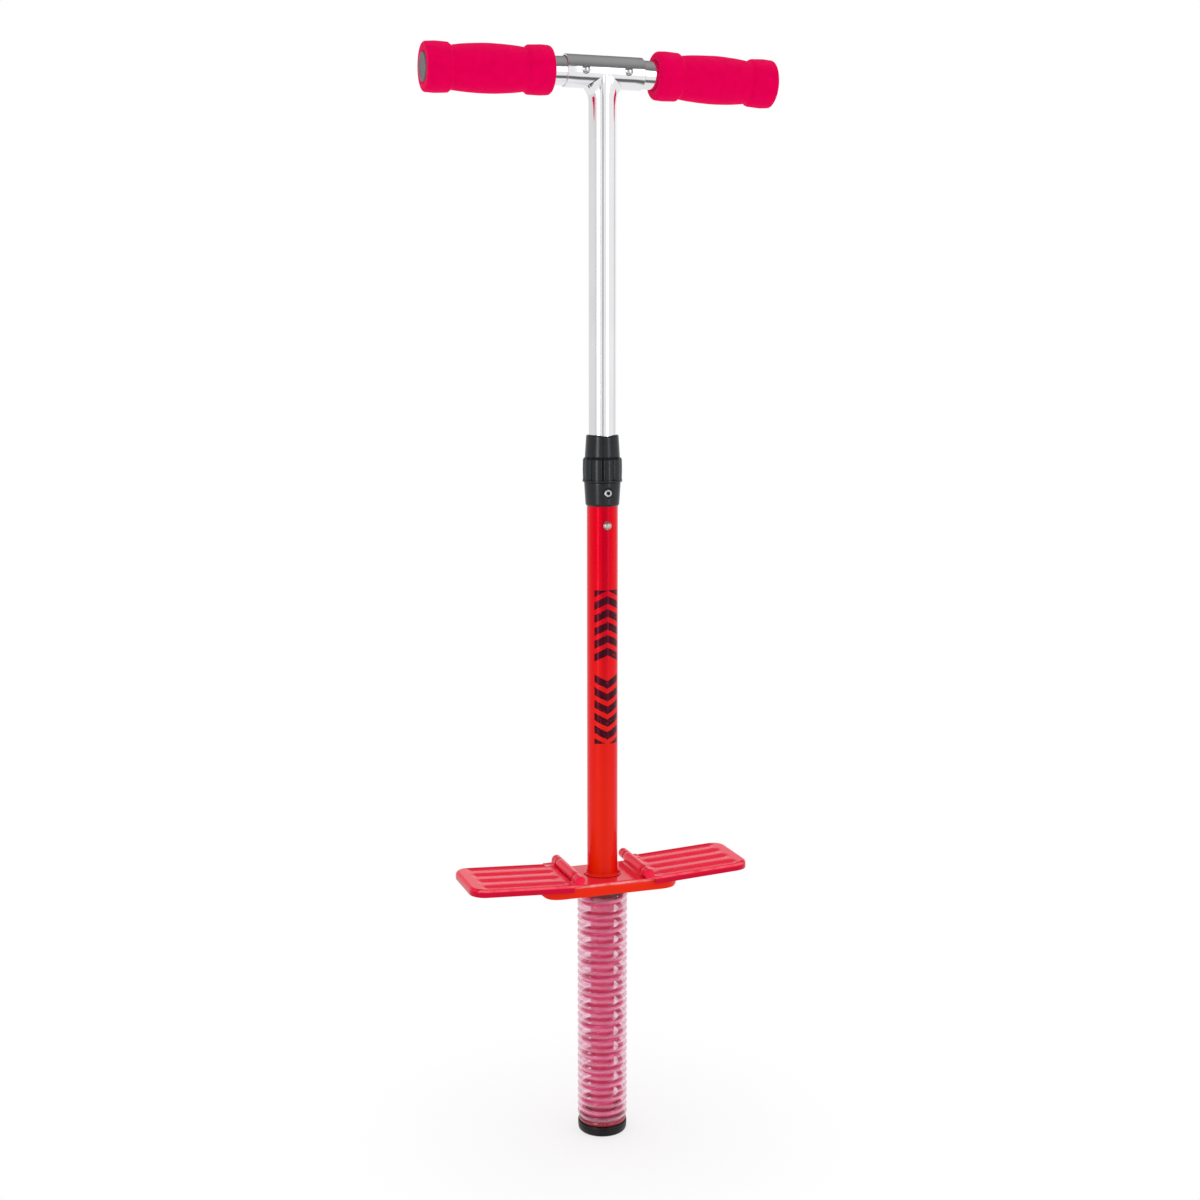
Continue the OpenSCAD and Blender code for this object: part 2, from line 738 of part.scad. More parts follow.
module right_pedal() { color("crimson") pedal_right(); }
module left_pedal() { color("crimson") left() pedal_right(); }
module right_grip_bar() { color("silver") grip_bar_right(); }
module left_grip_bar() { color("silver") left() grip_bar_right(); }
module right_foam_grip() { color("#e0104c") foam_grip_right(); }
module left_foam_grip() { color("#e0104c") left() foam_grip_right(); }
module right_end_plug() { color("dimgray") end_plug_right(); }
module left_end_plug() { color("dimgray") left() end_plug_right(); }

// Places a clip in the +X grip bar, with its bend towards the bar's outer end
module clip_in_bar() {
  drooped() translate([button_x, 0, 0]) rotate([0, -90, 0]) button_clip();
}

module right_button_clip() { color("darkgray") clip_in_bar(); }
module left_button_clip() { color("darkgray") left() clip_in_bar(); }
module height_button_clip() { color("darkgray") translate([0, 0, button_z]) button_clip(); }
module right_handle_button() { translate([button_x, 0, handle_z]) snap_button(); }
module left_handle_button() { translate([-button_x, 0, handle_z]) snap_button(); }
module height_button() { translate([0, 0, button_z]) snap_button(); }

main_tube();
base_plate();
base_weld();
hinge_pin(-1);  // left_hinge_pin
hinge_pin(1);  // right_hinge_pin
upper_spring_seat();
guide_bush();
collar_body();
collar_top();
collet();
collar_screw();
twist_ring();
left_pedal();
right_pedal();
spring();
spring_sleeve();
handle_stem();
stem_end_bush();
handle_crossbar();
crossbar_weld();
left_grip_bar();
right_grip_bar();
left_foam_grip();
right_foam_grip();
left_end_plug();
right_end_plug();
left_button_clip();
right_button_clip();
height_button_clip();
left_handle_button();
right_handle_button();
height_button();
shaft();
shaft_top_bush();
top_bush_rivet();
rebound_ring();
shaft_end_plug();
lower_spring_seat();
foot_tip();
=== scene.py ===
"""Looks for the pogo stick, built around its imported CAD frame.

Lengths are in millimetres until a mesh, a lamp or the camera is made, and then in metres. The
frame's own boxes give each piece its place and size. Pieces are lathed, pressed or extruded
from outlines in code.
"""

import json
from math import ceil, cos, dist, exp, hypot, pi, radians, sin, sqrt, tan

import bmesh
import bpy
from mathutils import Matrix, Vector, noise


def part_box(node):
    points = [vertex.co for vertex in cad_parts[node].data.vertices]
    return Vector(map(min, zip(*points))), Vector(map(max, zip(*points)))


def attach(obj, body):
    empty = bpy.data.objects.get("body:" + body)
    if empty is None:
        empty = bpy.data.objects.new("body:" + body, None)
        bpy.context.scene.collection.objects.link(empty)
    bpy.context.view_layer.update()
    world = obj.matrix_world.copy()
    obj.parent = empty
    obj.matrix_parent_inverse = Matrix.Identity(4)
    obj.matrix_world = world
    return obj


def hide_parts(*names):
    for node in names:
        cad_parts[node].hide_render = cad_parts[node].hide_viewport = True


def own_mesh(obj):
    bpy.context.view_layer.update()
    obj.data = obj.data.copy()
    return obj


MM = 0.001
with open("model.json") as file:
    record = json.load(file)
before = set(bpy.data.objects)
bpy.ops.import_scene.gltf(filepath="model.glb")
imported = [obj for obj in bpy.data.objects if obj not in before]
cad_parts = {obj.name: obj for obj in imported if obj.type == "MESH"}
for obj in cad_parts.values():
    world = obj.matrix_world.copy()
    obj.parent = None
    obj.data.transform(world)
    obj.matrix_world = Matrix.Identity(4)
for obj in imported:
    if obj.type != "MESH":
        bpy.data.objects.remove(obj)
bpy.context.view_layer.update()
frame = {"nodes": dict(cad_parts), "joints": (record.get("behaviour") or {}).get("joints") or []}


# ---------------------------------------------------------------- sizes read from the frame

def box_mm(node):
    """Lowest and highest corner of a CAD node, in millimetres."""
    low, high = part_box(node)
    return low / MM, high / MM


def middle_of(node):
    low, high = box_mm(node)
    return (low + high) / 2


def z_span(node):
    low, high = box_mm(node)
    return low.z, high.z


def radius_of(node, axis="x"):
    """Half a CAD node's width along one axis."""
    low, high = box_mm(node)
    return (getattr(high, axis) - getattr(low, axis)) / 2


def joint(name):
    return next(j for j in frame["joints"] if j["name"] == name)


TUBE_R = radius_of("main_tube")
STEM_R = radius_of("handle_stem")
SHAFT_R = radius_of("shaft")
TUBE_WALL = 1.5
# thickness of the pressed base plate and pedals
SHEET = 1.8
# keeps a piece just off its neighbour
GAP = 0.02
HANDLE_Z = middle_of("handle_crossbar").z
BUTTON_X = middle_of("right_handle_button").x
DROOP = radians(1.2)
RING_LOW, RING_HIGH = z_span("twist_ring")
HINGE_X, _, HINGE_Z = (v / MM for v in joint("right_pedal_fold")["pos_m"])
BARREL_R = 4.25
# where a pedal's knuckles start and end along its hinge, out from the middle
KNUCKLE_IN, KNUCKLE_OUT = 22.0, 32.5
# a pedal's tilt, its top face's depth below its hinge axis, and half its width
PEDAL_TILT, PEDAL_DROP, PEDAL_HALF = radians(3.0), 3.0, 32.75
BASE_Z = z_span("base_weld")[0] - GAP


def drooped(side, point, back=False):
    """A point of a level grip turned down about the handle button, or back up again."""
    x, y, z = point
    angle = -DROOP if back else DROOP
    out, up = side * x - BUTTON_X, z - HANDLE_Z
    return (side * (BUTTON_X + out * cos(angle) + up * sin(angle)), y,
            HANDLE_Z - out * sin(angle) + up * cos(angle))


def level_span(node, side):
    """Inner end, outer end and radius of a grip's CAD node before its droop."""
    obj = frame["nodes"][node]
    points = [drooped(side, (obj.matrix_world @ v.co) / MM, back=True) for v in obj.data.vertices]
    ends = [side * p[0] for p in points]
    return min(ends), max(ends), max(p[2] for p in points) - HANDLE_Z


# ---------------------------------------------------------------- outlines

def clamped(value):
    return min(1.0, max(0.0, value))


def fillet(corners, steps=5):
    """Points of an outline whose corners (a, b, radius) are rounded by arcs."""
    points = []
    for i, (a, b, radius) in enumerate(corners):
        here = Vector((a, b))
        if radius <= 0 or i in (0, len(corners) - 1):
            points.append(here)
            continue
        to_last = Vector(corners[i - 1][:2]) - here
        to_next = Vector(corners[i + 1][:2]) - here
        half = to_last.angle(to_next) / 2
        # an arc takes up less than half of each side, so that neighbouring arcs never meet
        reach = min(radius / tan(half), 0.49 * to_last.length, 0.49 * to_next.length)
        radius = reach * tan(half)
        u, v = to_last.normalized(), to_next.normalized()
        centre = here + (u + v).normalized() * (radius / sin(half))
        start, end = here + u * reach - centre, here + v * reach - centre
        turn = start.angle_signed(end)
        for k in range(steps + 1):
            angle = -turn * k / steps
            c, s = cos(angle), sin(angle)
            points.append(centre + Vector((start.x * c - start.y * s, start.x * s + start.y * c)))
    return [(p.x, p.y) for p in points]


def arc(centre, radius, start_deg, end_deg, steps, rise=None):
    """Points along an arc of a circle, or of an ellipse when rise is its second radius."""
    up = radius if rise is None else rise
    angles = [radians(start_deg + (end_deg - start_deg) * k / steps) for k in range(steps + 1)]
    return [(centre[0] + radius * cos(t), centre[1] + up * sin(t)) for t in angles]


def between(start, end, steps):
    """Points that divide a straight line into steps, without its two ends."""
    return [tuple(a + (b - a) * k / steps for a, b in zip(start, end)) for k in range(1, steps)]


def refine(outline, step):
    """The same outline with points no further apart than step."""
    points = outline[:1]
    for start, end in zip(outline, outline[1:]):
        points += between(start, end, max(1, ceil(dist(start, end) / step))) + [end]
    return points


def tube_shell(r, start, end, edge=0.45):
    """Outline of a tube's wall with eased edges, as (radius, height)."""
    inner, middle = r - TUBE_WALL, r - TUBE_WALL / 2
    return fillet([(middle, start, 0), (r, start, edge), (r, end, edge), (inner, end, edge),
                   (inner, start, edge), (middle, start, 0)], steps=4)


# ---------------------------------------------------------------- shells: (verts, faces)

def skin(rows, columns, wrap_rows=False, wrap_columns=True):
    """Quads between neighbours in a grid of points that is stored row by row."""
    faces = []
    for k in range(rows if wrap_rows else rows - 1):
        here, there = k * columns, (k + 1) % rows * columns
        for i in range(columns if wrap_columns else columns - 1):
            j = (i + 1) % columns
            faces.append((here + i, here + j, there + j, there + i))
    return faces


def along(axis, centre):
    """Turns lathe coordinates (radius, angle, height) into a point for a spindle along axis."""
    cx, cy, cz = centre

    def place(r, t, h):
        a, b = r * cos(t), r * sin(t)
        if axis == "X":
            return (cx + h, cy + a, cz + b)
        if axis == "-X":
            return (cx - h, cy + a, cz + b)
        if axis == "-Y":
            return (cx + a, cy - h, cz + b)
        if axis == "Y":
            return (cx + a, cy + h, cz + b)
        return (cx + a, cy + b, cz + h)

    return place


def lathed(outline, axis="Z", centre=(0, 0, 0), segments=128, closed=False, shape=None):
    """The outline (radius, height) turned about an axis. shape(radius, angle, height) may
    return a changed (radius, height)."""
    place = along(axis, centre)
    verts = []
    for k in range(segments):
        t = 2 * pi * k / segments
        for r, h in outline:
            if shape:
                r, h = shape(r, t, h)
            verts.append(place(r, t, h))
    return verts, skin(segments, len(outline), wrap_rows=True, wrap_columns=closed)


def extruded(outline, y_from, y_to, edge):
    """An (x, z) outline drawn out between two y planes, with slightly chamfered ends."""
    n = len(outline)
    middle = Vector((sum(p[0] for p in outline) / n, sum(p[1] for p in outline) / n))
    verts = []
    for y, inset in ((y_from, edge), (y_from + edge, 0), (y_to - edge, 0), (y_to, edge)):
        for p in outline:
            v = Vector(p) - middle
            v = v * max(0.0, 1 - inset / max(v.length, 1e-6)) + middle
            verts.append((v.x, y, v.y))
    rows = len(verts) // n
    return verts, skin(rows, n) + [tuple(range(n)), tuple(range((rows - 1) * n, rows * n))]


def joined(*parts):
    """Several shells as one."""
    verts, faces = [], []
    for more_verts, more_faces in parts:
        base = len(verts)
        verts += more_verts
        faces += [tuple(base + i for i in face) for face in more_faces]
    return verts, faces


def mirrored(part):
    """The same shell on the other side of X = 0."""
    verts, faces = part
    return [(-x, y, z) for x, y, z in verts], [tuple(reversed(face)) for face in faces]


# ---------------------------------------------------------------- meshes

def tidied_mesh(name, verts, faces):
    """A mesh from millimetre points, without doubled points and with every face outwards."""
    mesh = bpy.data.meshes.new(name)
    mesh.from_pydata([[c * MM for c in v] for v in verts], [], faces)
    bm = bmesh.new()
    bm.from_mesh(mesh)
    bmesh.ops.remove_doubles(bm, verts=bm.verts, dist=1e-7)
    bmesh.ops.recalc_face_normals(bm, faces=bm.faces)
    bm.to_mesh(mesh)
    bm.free()
    return mesh


def in_scene(name, data):
    obj = bpy.data.objects.new(name, data)
    bpy.context.scene.collection.objects.link(obj)
    return obj


def button_hole(name, skin_r):
    """A drill for a snap button's hole through the front wall of a tube of outer radius skin_r."""
    clearance, inwards, outwards = 0.12, 3, 1
    centre, r = middle_of(name), radius_of(name) + clearance
    near, far = skin_r - inwards, skin_r + outwards
    return lathed([(0, near), (r, near), (r, far), (0, far)], "-Y", (centre.x, 0, centre.z), 48)


def drilled(mesh, holes):
    """The mesh with each drill's shape cut out of it."""
    blank = in_scene("blank", mesh)
    drills = [in_scene("drill", tidied_mesh("drill", *hole)) for hole in holes]
    for drill in drills:
        cut = blank.modifiers.new("hole", "BOOLEAN")
        cut.operation, cut.solver, cut.object = "DIFFERENCE", "EXACT", drill
    seen = bpy.context.evaluated_depsgraph_get()
    cut_mesh = bpy.data.meshes.new_from_object(blank.evaluated_get(seen))
    for used in (blank, *drills):
        bpy.data.objects.remove(used)
    return cut_mesh


def piece(name, verts, faces, body, material, replaces, slot, sharp_deg=35, holes=()):
    """A smooth-shaded object that rides on a CAD body and stands in for a CAD node."""
    mesh = tidied_mesh(name, verts, faces)
    if holes:
        mesh = drilled(mesh, holes)
        mesh.name = name
    mesh.polygons.foreach_set("use_smooth", [True] * len(mesh.polygons))
    mesh.set_sharp_from_angle(angle=radians(sharp_deg))
    mesh.materials.append(material)
    obj = in_scene(name, mesh)
    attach(obj, body)
    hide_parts(replaces)
    return obj


def shorten(obj, z0, z1):
    """Gives a piece a mesh of its own."""
    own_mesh(obj)


# ---------------------------------------------------------------- node graphs

def operator(kind, swapped=False):
    """A method that adds one kind of math node."""

    def apply(value, other=0.0):
        a, b = (other, value) if swapped else (value, other)
        return value.graph.math(kind, a, b)

    return apply


class Value:
    """A node's output. Arithmetic and comparisons on it add math nodes to its graph."""

    __add__ = operator("ADD")
    __sub__ = operator("SUBTRACT")
    __rsub__ = operator("SUBTRACT", swapped=True)
    __mul__ = operator("MULTIPLY")
    __rmul__ = operator("MULTIPLY")
    __truediv__ = operator("DIVIDE")
    __lt__ = operator("LESS_THAN")
    __gt__ = operator("GREATER_THAN")
    __abs__ = operator("ABSOLUTE")

    def __init__(self, graph, socket):
        self.graph = graph
        self.socket = socket

    def remap(self, low, high, to_low, to_high):
        """Runs from to_low at low to to_high at high, and stays level beyond them."""
        inputs = dict(enumerate((self, low, high, to_low, to_high)))
        return self.graph.add("MapRange", inputs, interpolation_type=self.graph.interpolation)

    def spread(self, to_low=0.0, to_high=1.0):
        """Stretches the range where most of a noise lies."""
        return self.remap(0.3, 0.7, to_low, to_high)


class Graph:
    """A node tree being built."""

    def __init__(self, tree, interpolation="LINEAR"):
        self.nodes = tree.nodes
        self.links = tree.links
        self.interpolation = interpolation

    def add(self, kind, inputs, output=0, **settings):
        """Adds a node, sets or links its inputs, and gives one of its outputs."""
        node = self.nodes.new("ShaderNode" + kind)
        for key, value in settings.items():
            setattr(node, key, value)
        for key, value in inputs.items():
            self.feed(node.inputs[key], value)
        return Value(self, node.outputs[output])

    def feed(self, socket, value):
        """Links a socket to a value, or sets it when the value is plain."""
        if isinstance(value, Value):
            self.links.new(value.socket, socket)
        else:
            socket.default_value = value

    def math(self, operation, a, b):
        return self.add("Math", {0: a, 1: b}, operation=operation)

    def larger(self, a, b):
        return self.math("MAXIMUM", a, b)

    def length(self, a, b):
        return self.math("POWER", a * a + b * b, 0.5)

    def bearing(self, x, y):
        """Angle about Z from the front, towards +X."""
        return self.math("ARCTAN2", x, y * -1.0)

    def split(self, vector):
        return [self.add("SeparateXYZ", {0: vector}, axis) for axis in "XYZ"]


class Look(Graph):
    """A node material with one principled shader."""

    def __init__(self, name):
        self.material = bpy.data.materials.new(name)
        self.material.use_nodes = True
        super().__init__(self.material.node_tree)
        self.shader = self.nodes["Principled BSDF"]
        self.gloss = Value(self, self.shader.outputs[0])
        self.place = self.add("TexCoord", {}, "Object")

    def xyz(self):
        """The frame's coordinates, in millimetres."""
        return [value * (1 / MM) for value in self.split(self.place)]

    def surface(self, **inputs):
        """Sets or links inputs of the shader, and returns the material."""
        for key, value in inputs.items():
            self.feed(self.shader.inputs[key.replace("_", " ")], value)
        return self.material

    def stretched(self, scale):
        """The frame's coordinates times a scale per axis."""
        return self.add("Mapping", {"Vector": self.place, "Scale": scale})

    def noise(self, scale, detail=3.0, vector=None, distortion=0.0):
        """Noise of about scale features to the metre, unless vector is stretched already."""
        return self.add("TexNoise", {"Vector": vector or self.place, "Scale": scale, "Detail": detail,
                                     "Distortion": distortion}, "Fac")

    def cells(self, scale):
        return self.add("TexVoronoi", {"Vector": self.place, "Scale": scale}, "Distance")

    def mix(self, share, a, b):
        # numbered, since the node has float and vector sockets of the same names as its colour ones
        return self.add("Mix", {0: share, 6: a, 7: b}, 2, data_type="RGBA")

    def bump(self, height, depth_mm, strength, under=None):
        """Surface relief, on top of another one when under is given."""
        inputs = {"Height": height, "Distance": depth_mm * MM, "Strength": strength}
        if under:
            inputs["Normal"] = under
        return self.add("Bump", inputs)

    def blend(self, share, under, over):
        """Makes the surface a mix of two shaders, with over by share."""
        mixed = self.add("MixShader", {0: share, 1: under, 2: over})
        self.feed(self.nodes["Material Output"].inputs["Surface"], mixed)


# ---------------------------------------------------------------- enamel

def rgb(r, g, b):
    return (r, g, b, 1.0)


def scaled(colour, factor):
    """The colour made darker or lighter."""
    return rgb(*[c * factor for c in colour[:3]])


CRIMSON = rgb(0.94, 0.014, 0.052)
CLOUDED_CRIMSON = rgb(0.90, 0.020, 0.062)
# painted shade on the pedals' skirts and in the creases inside their rims
PAINTED_SHADE_CRIMSON = rgb(0.52, 0.001, 0.022)
# paint rubbed paler where shoes rest, and the painted highlight along the pedals' rims
RUBBED_AND_HIGHLIGHT = rgb(0.98, 0.14, 0.17)
# painted highlight along the base plate's rims
PAINTED_RIM_HIGHLIGHT = rgb(1.0, 0.36, 0.36)
# painted shade in the gaps of the hinges
PAINTED_GAP_SHADE = rgb(0.13, 0.004, 0.012)
TUBE_RED = rgb(0.80, 0.0, 0.006)
CLOUDED_RED = rgb(0.70, 0.0, 0.008)
# painted warm light: the orange that low parts of the red turn to
PAINTED_WARM_LIGHT_RED = rgb(0.85, 0.030, 0.001)
# painted shade: the dark red of the strip down the tube's front
PAINTED_SHADE_RED = rgb(0.40, 0.0, 0.012)
ENAMEL_TINT = rgb(1.0, 0.06, 0.22)


def enamel_colour(look):
    """Red, turned orange low on the front and under the base by painted warm light, with faint cloudy
    variation and a deeper strip of painted shade down the front of its upper part."""
    warm_light_start, warm_light_end = 500, 270
    painted_shade_low, painted_shade_high = 340, 460
    x, y, z = look.xyz()
    turn = look.bearing(x, y)
    front = abs(turn + radians(20)).remap(radians(25), radians(75), 1.0, 0.0)
    under_base = z < BASE_Z
    # painted warm light: orange low on the front and all round under the base
    painted_warm_light = z.remap(warm_light_start, warm_light_end, 0.0, 1.0) * look.larger(front, under_base)
    red = look.mix(painted_warm_light, TUBE_RED, PAINTED_WARM_LIGHT_RED)
    red = look.mix(look.noise(18.0).spread(0.0, 0.2), red, CLOUDED_RED)
    # painted shade: a darker strip down the front of the tube's upper part
    strip = abs(turn + radians(8)).remap(radians(8), radians(20), 0.62, 0.0)
    strip = strip * z.remap(painted_shade_low, painted_shade_high, 0.25, 1.0) * (1.0 - under_base)
    return look.mix(strip, red, PAINTED_SHADE_RED)


def enamelled(look, colour):
    """Powder coat: faint orange peel under a gloss of slightly uneven roughness."""
    peel = look.bump(look.noise(420.0, 2.0), 0.05, 0.25)
    fine = look.bump(look.noise(1900.0, 2.0), 0.012, 0.3, under=peel)
    return look.surface(Base_Color=colour, Roughness=look.noise(60.0).spread(0.13, 0.20), Normal=fine,
                        Specular_IOR_Level=0.5, Specular_Tint=ENAMEL_TINT)


def crimson_colour(look):
    return look.mix(look.noise(26.0).spread(), CRIMSON, CLOUDED_CRIMSON)


def skirt_shade(look, below_top, from_middle, half_width):
    """How much painted shade darkens a pressing's turned-down edge, and the crease just inside its
    long rims. below_top is the depth under its top face, and from_middle the distance across it."""
    crease_in = 4.2
    skirt = below_top.remap(1.8, 2.6, 0.0, 0.8)
    off_crease = abs(abs(from_middle) - (half_width - crease_in))
    crease = off_crease.remap(0.5, 1.2, 0.9, 0.0) * (below_top < 0.5)
    return look.larger(skirt, crease)


def painted_rim_highlight(look, below_top, from_middle, half_width):
    """How strong the painted highlight is along the bend at the long edges of a pressing."""
    rim_width = 2.6
    band = below_top.remap(0.2, 0.7, 0.0, 1.0) * below_top.remap(1.4, 2.3, 1.0, 0.0)
    at_rim = abs(from_middle) > half_width - rim_width
    return band * at_rim * look.noise(130.0).remap(0.35, 0.6, 0.35, 1.0)


def knuckle_gaps(x, from_middle, z):
    """How much painted shade darkens the gaps between the base's hinge barrel and a pedal's knuckles."""
    off = abs(abs(from_middle) - KNUCKLE_IN)
    at_hinge = (z > HINGE_Z - 1.5) * (abs(x) < HINGE_X + BARREL_R + 0.3)
    return off.remap(0.35, 0.95, 0.9, 0.0) * at_hinge


def red_enamel():
    look = Look("red_enamel")
    return enamelled(look, enamel_colour(look))


def crimson_enamel():
    """The pedals' crimson, rubbed a little paler where shoes rest, with a painted highlight along the rims.
    """
    look = Look("crimson_enamel")
    x, y, z = look.xyz()
    top = (abs(x) - HINGE_X) * tan(PEDAL_TILT) + (HINGE_Z - PEDAL_DROP)
    below = top - z
    shoes = look.noise(90.0, 4.0).remap(0.50, 0.75, 0.0, 0.10)
    colour = look.mix(shoes, crimson_colour(look), RUBBED_AND_HIGHLIGHT)
    colour = look.mix(skirt_shade(look, below, y, PEDAL_HALF), colour, PAINTED_SHADE_CRIMSON)
    # painted highlight along the pedals' rims
    colour = look.mix(painted_rim_highlight(look, below, y, PEDAL_HALF), colour, RUBBED_AND_HIGHLIGHT)
    # painted shade in the hinge gaps
    return enamelled(look, look.mix(knuckle_gaps(x, y, z), colour, PAINTED_GAP_SHADE))


def pan_enamel():
    """The base plate: its skirt like the tube, its top and hinges like the pedals."""
    look = Look("pan_enamel")
    x, y, z = look.xyz()
    top = z.remap(BASE_Z - 1.2, BASE_Z + 0.6, 0.0, 1.0)
    colour = look.mix(top, enamel_colour(look), crimson_colour(look))
    rim_highlight = painted_rim_highlight(look, BASE_Z - z, y, radius_of("base_plate", "y"))
    # painted highlight along the base plate's rims
    colour = look.mix(rim_highlight, colour, PAINTED_RIM_HIGHLIGHT)
    # painted shade in the hinge gaps
    return enamelled(look, look.mix(knuckle_gaps(x, y, z), colour, PAINTED_GAP_SHADE))


def decal_mask(look):
    """1 where the worn black graphic lies: a group of chevrons over a group that points the
    other way."""
    high, low, middle = 469, 341, 404.5
    period, bar_share = 10.7, 0.60
    # a chevron's rise per radian round the tube, and the graphic's half width in radians
    bend, half_width = 6.2, 0.88
    x, y, z = look.xyz()
    aside = abs(look.bearing(x, y))
    ragged = look.noise(420.0, 4.0).remap(0.0, 1.0, -0.6, 0.6)
    height = z + ragged
    # mirrored about the middle of the gap, so that the two groups point apart
    bent = aside * bend + abs(height - middle)
    bars = look.math("FRACT", bent / period, 0.0) < bar_share
    inside = (height < high) * (height > low) * (bent > period) * (aside + ragged * 0.06 < half_width)
    worn = look.noise(800.0, 5.0, distortion=0.6) < 0.66
    return bars * inside * worn


def printed_enamel():
    look = Look("red_enamel_printed")
    print_black = look.mix(look.noise(300.0).spread(), rgb(0.006, 0.004, 0.004),
                           rgb(0.035, 0.006, 0.008))
    return enamelled(look, look.mix(decal_mask(look), enamel_colour(look), print_black))


# ---------------------------------------------------------------- other materials

def polished_metal(name, lengthways):
    """Drawn and polished tube: fine marks along its length."""
    look = Look(name)
    colour = rgb(0.90, 0.90, 0.92)
    scale = [12.0 if axis == lengthways else 900.0 for axis in "XYZ"]
    marks = look.noise(1.0, 1.0, vector=look.stretched(scale))
    smudge = look.noise(26.0)
    return look.surface(Metallic=1.0,
                        Base_Color=look.mix(smudge.remap(0.35, 0.7, 0.0, 0.35), colour, scaled(colour, 0.86)),
                        Roughness=(marks * smudge).remap(0.1, 0.5, 0.09, 0.13),
                        Normal=look.bump(marks, 0.001, 0.1))


def nickel(name, colour, rough):
    """Plated small part, duller in patches."""
    look = Look(name)
    spots = look.noise(900.0, 4.0)
    return look.surface(Metallic=1.0,
                        Base_Color=look.mix(spots.spread(), colour, scaled(colour, 0.8)),
                        Roughness=spots.remap(0.35, 0.75, rough, rough + 0.12),
                        Normal=look.bump(look.noise(700.0, 2.0), 0.02, 0.2))


def socket_screw():
    """Zinc-plated head, with painted shade inside its socket."""
    look = Look("screw_steel")
    x, _, z = look.xyz()
    from_axis = look.length(x, z - middle_of("collar_screw").z)
    # painted shade: the socket is made black and not metallic
    socket = from_axis.remap(1.5, 1.9, 1.0, 0.0)
    grain = look.noise(1500.0).spread()
    steel = look.mix(grain, rgb(0.40, 0.40, 0.42), rgb(0.55, 0.55, 0.56))
    return look.surface(Metallic=1.0 - socket,
                        Base_Color=look.mix(socket, steel, rgb(0.02, 0.02, 0.022)),
                        Roughness=grain.remap(0.0, 1.0, 0.30, 0.42),
                        Specular_IOR_Level=0.1)


def moulded_plastic(name, colour, rough, specular=0.5):
    """Moulded plastic: a fine spark-eroded grain and faint flow marks."""
    look = Look(name)
    flow = look.noise(55.0, distortion=1.5)
    grain = look.noise(2600.0)
    return look.surface(Base_Color=look.mix(flow.spread(), colour, scaled(colour, 1.35)),
                        Roughness=grain.spread(rough - 0.07, rough + 0.10),
                        Normal=look.bump(grain, 0.02, 0.45, under=look.bump(flow, 0.05, 0.2)),
                        Specular_IOR_Level=specular)


def pink_foam():
    """Closed-cell foam: a skin of fine open cells, softly uneven, with a dusty sheen."""
    look = Look("pink_foam")
    soft = look.noise(140.0, 4.0)
    pits = look.cells(1500.0).remap(0.10, 0.45, 0.0, 1.0)
    colour = look.mix(soft.spread(), rgb(0.76, 0.0, 0.078), rgb(0.84, 0.0, 0.092))
    return look.surface(Base_Color=look.mix(pits.remap(0.0, 0.6, 0.45, 0.0), colour, rgb(0.50, 0.0, 0.055)),
                        Roughness=look.noise(700.0).spread(0.62, 0.80),
                        Normal=look.bump(pits, 0.10, 0.55, under=look.bump(soft, 0.35, 0.35)),
                        Subsurface_Weight=0.08, Subsurface_Scale=2 * MM,
                        Specular_IOR_Level=0.06, Specular_Tint=rgb(1.0, 0.1, 0.4))


def black_rubber():
    """Moulded rubber with patches of dust."""
    look = Look("black_rubber")
    grain = look.noise(1200.0, 4.0)
    dust = look.noise(45.0, 4.0).remap(0.42, 0.75, 0.0, 0.5)
    return look.surface(Base_Color=look.mix(dust, rgb(0.004, 0.002, 0.003), rgb(0.020, 0.015, 0.016)),
                        Roughness=grain.spread(0.32, 0.5),
                        Normal=look.bump(grain, 0.03, 0.4),
                        Specular_IOR_Level=0.25)


def spring_steel():
    """Wire coloured dull rose as a painted reflection of the red shaft, with long drawing marks and an oily
    gloss.
    """
    look = Look("spring_steel")
    streak = look.noise(1.0, 4.0, vector=look.stretched((300.0, 300.0, 1600.0)))
    blotch = look.noise(70.0, 4.0).spread()
    return look.surface(Metallic=0.2,
                        # painted reflection: the rose stands for the red shaft mirrored in the wire
                        Base_Color=look.mix(blotch, rgb(0.66, 0.055, 0.17), rgb(0.76, 0.10, 0.24)),
                        Roughness=streak.spread(0.24, 0.42),
                        Normal=look.bump(streak, 0.02, 0.4))


def plain_steel():
    """Zinc-plated steel with a faint crystalline cloud."""
    look = Look("plain_steel")
    cloud = look.cells(160.0).remap(0.1, 0.7, 0.0, 1.0)
    return look.surface(Metallic=1.0,
                        Base_Color=look.mix(cloud, rgb(0.52, 0.52, 0.54), rgb(0.66, 0.65, 0.64)),
                        Roughness=look.noise(400.0).spread(0.25, 0.42),
                        Normal=look.bump(look.noise(1100.0), 0.02, 0.3))


def red_steel(name, dark, light):
    """Painted steel whose colour clouds a little between two reds."""
    look = Look(name)
    return look.surface(Base_Color=look.mix(look.noise(40.0, 4.0).spread(), dark, light),
                        Roughness=look.noise(500.0).spread(0.22, 0.36),
                        Normal=look.bump(look.noise(500.0, 2.0), 0.04, 0.3),
                        Coat_Weight=0.3)


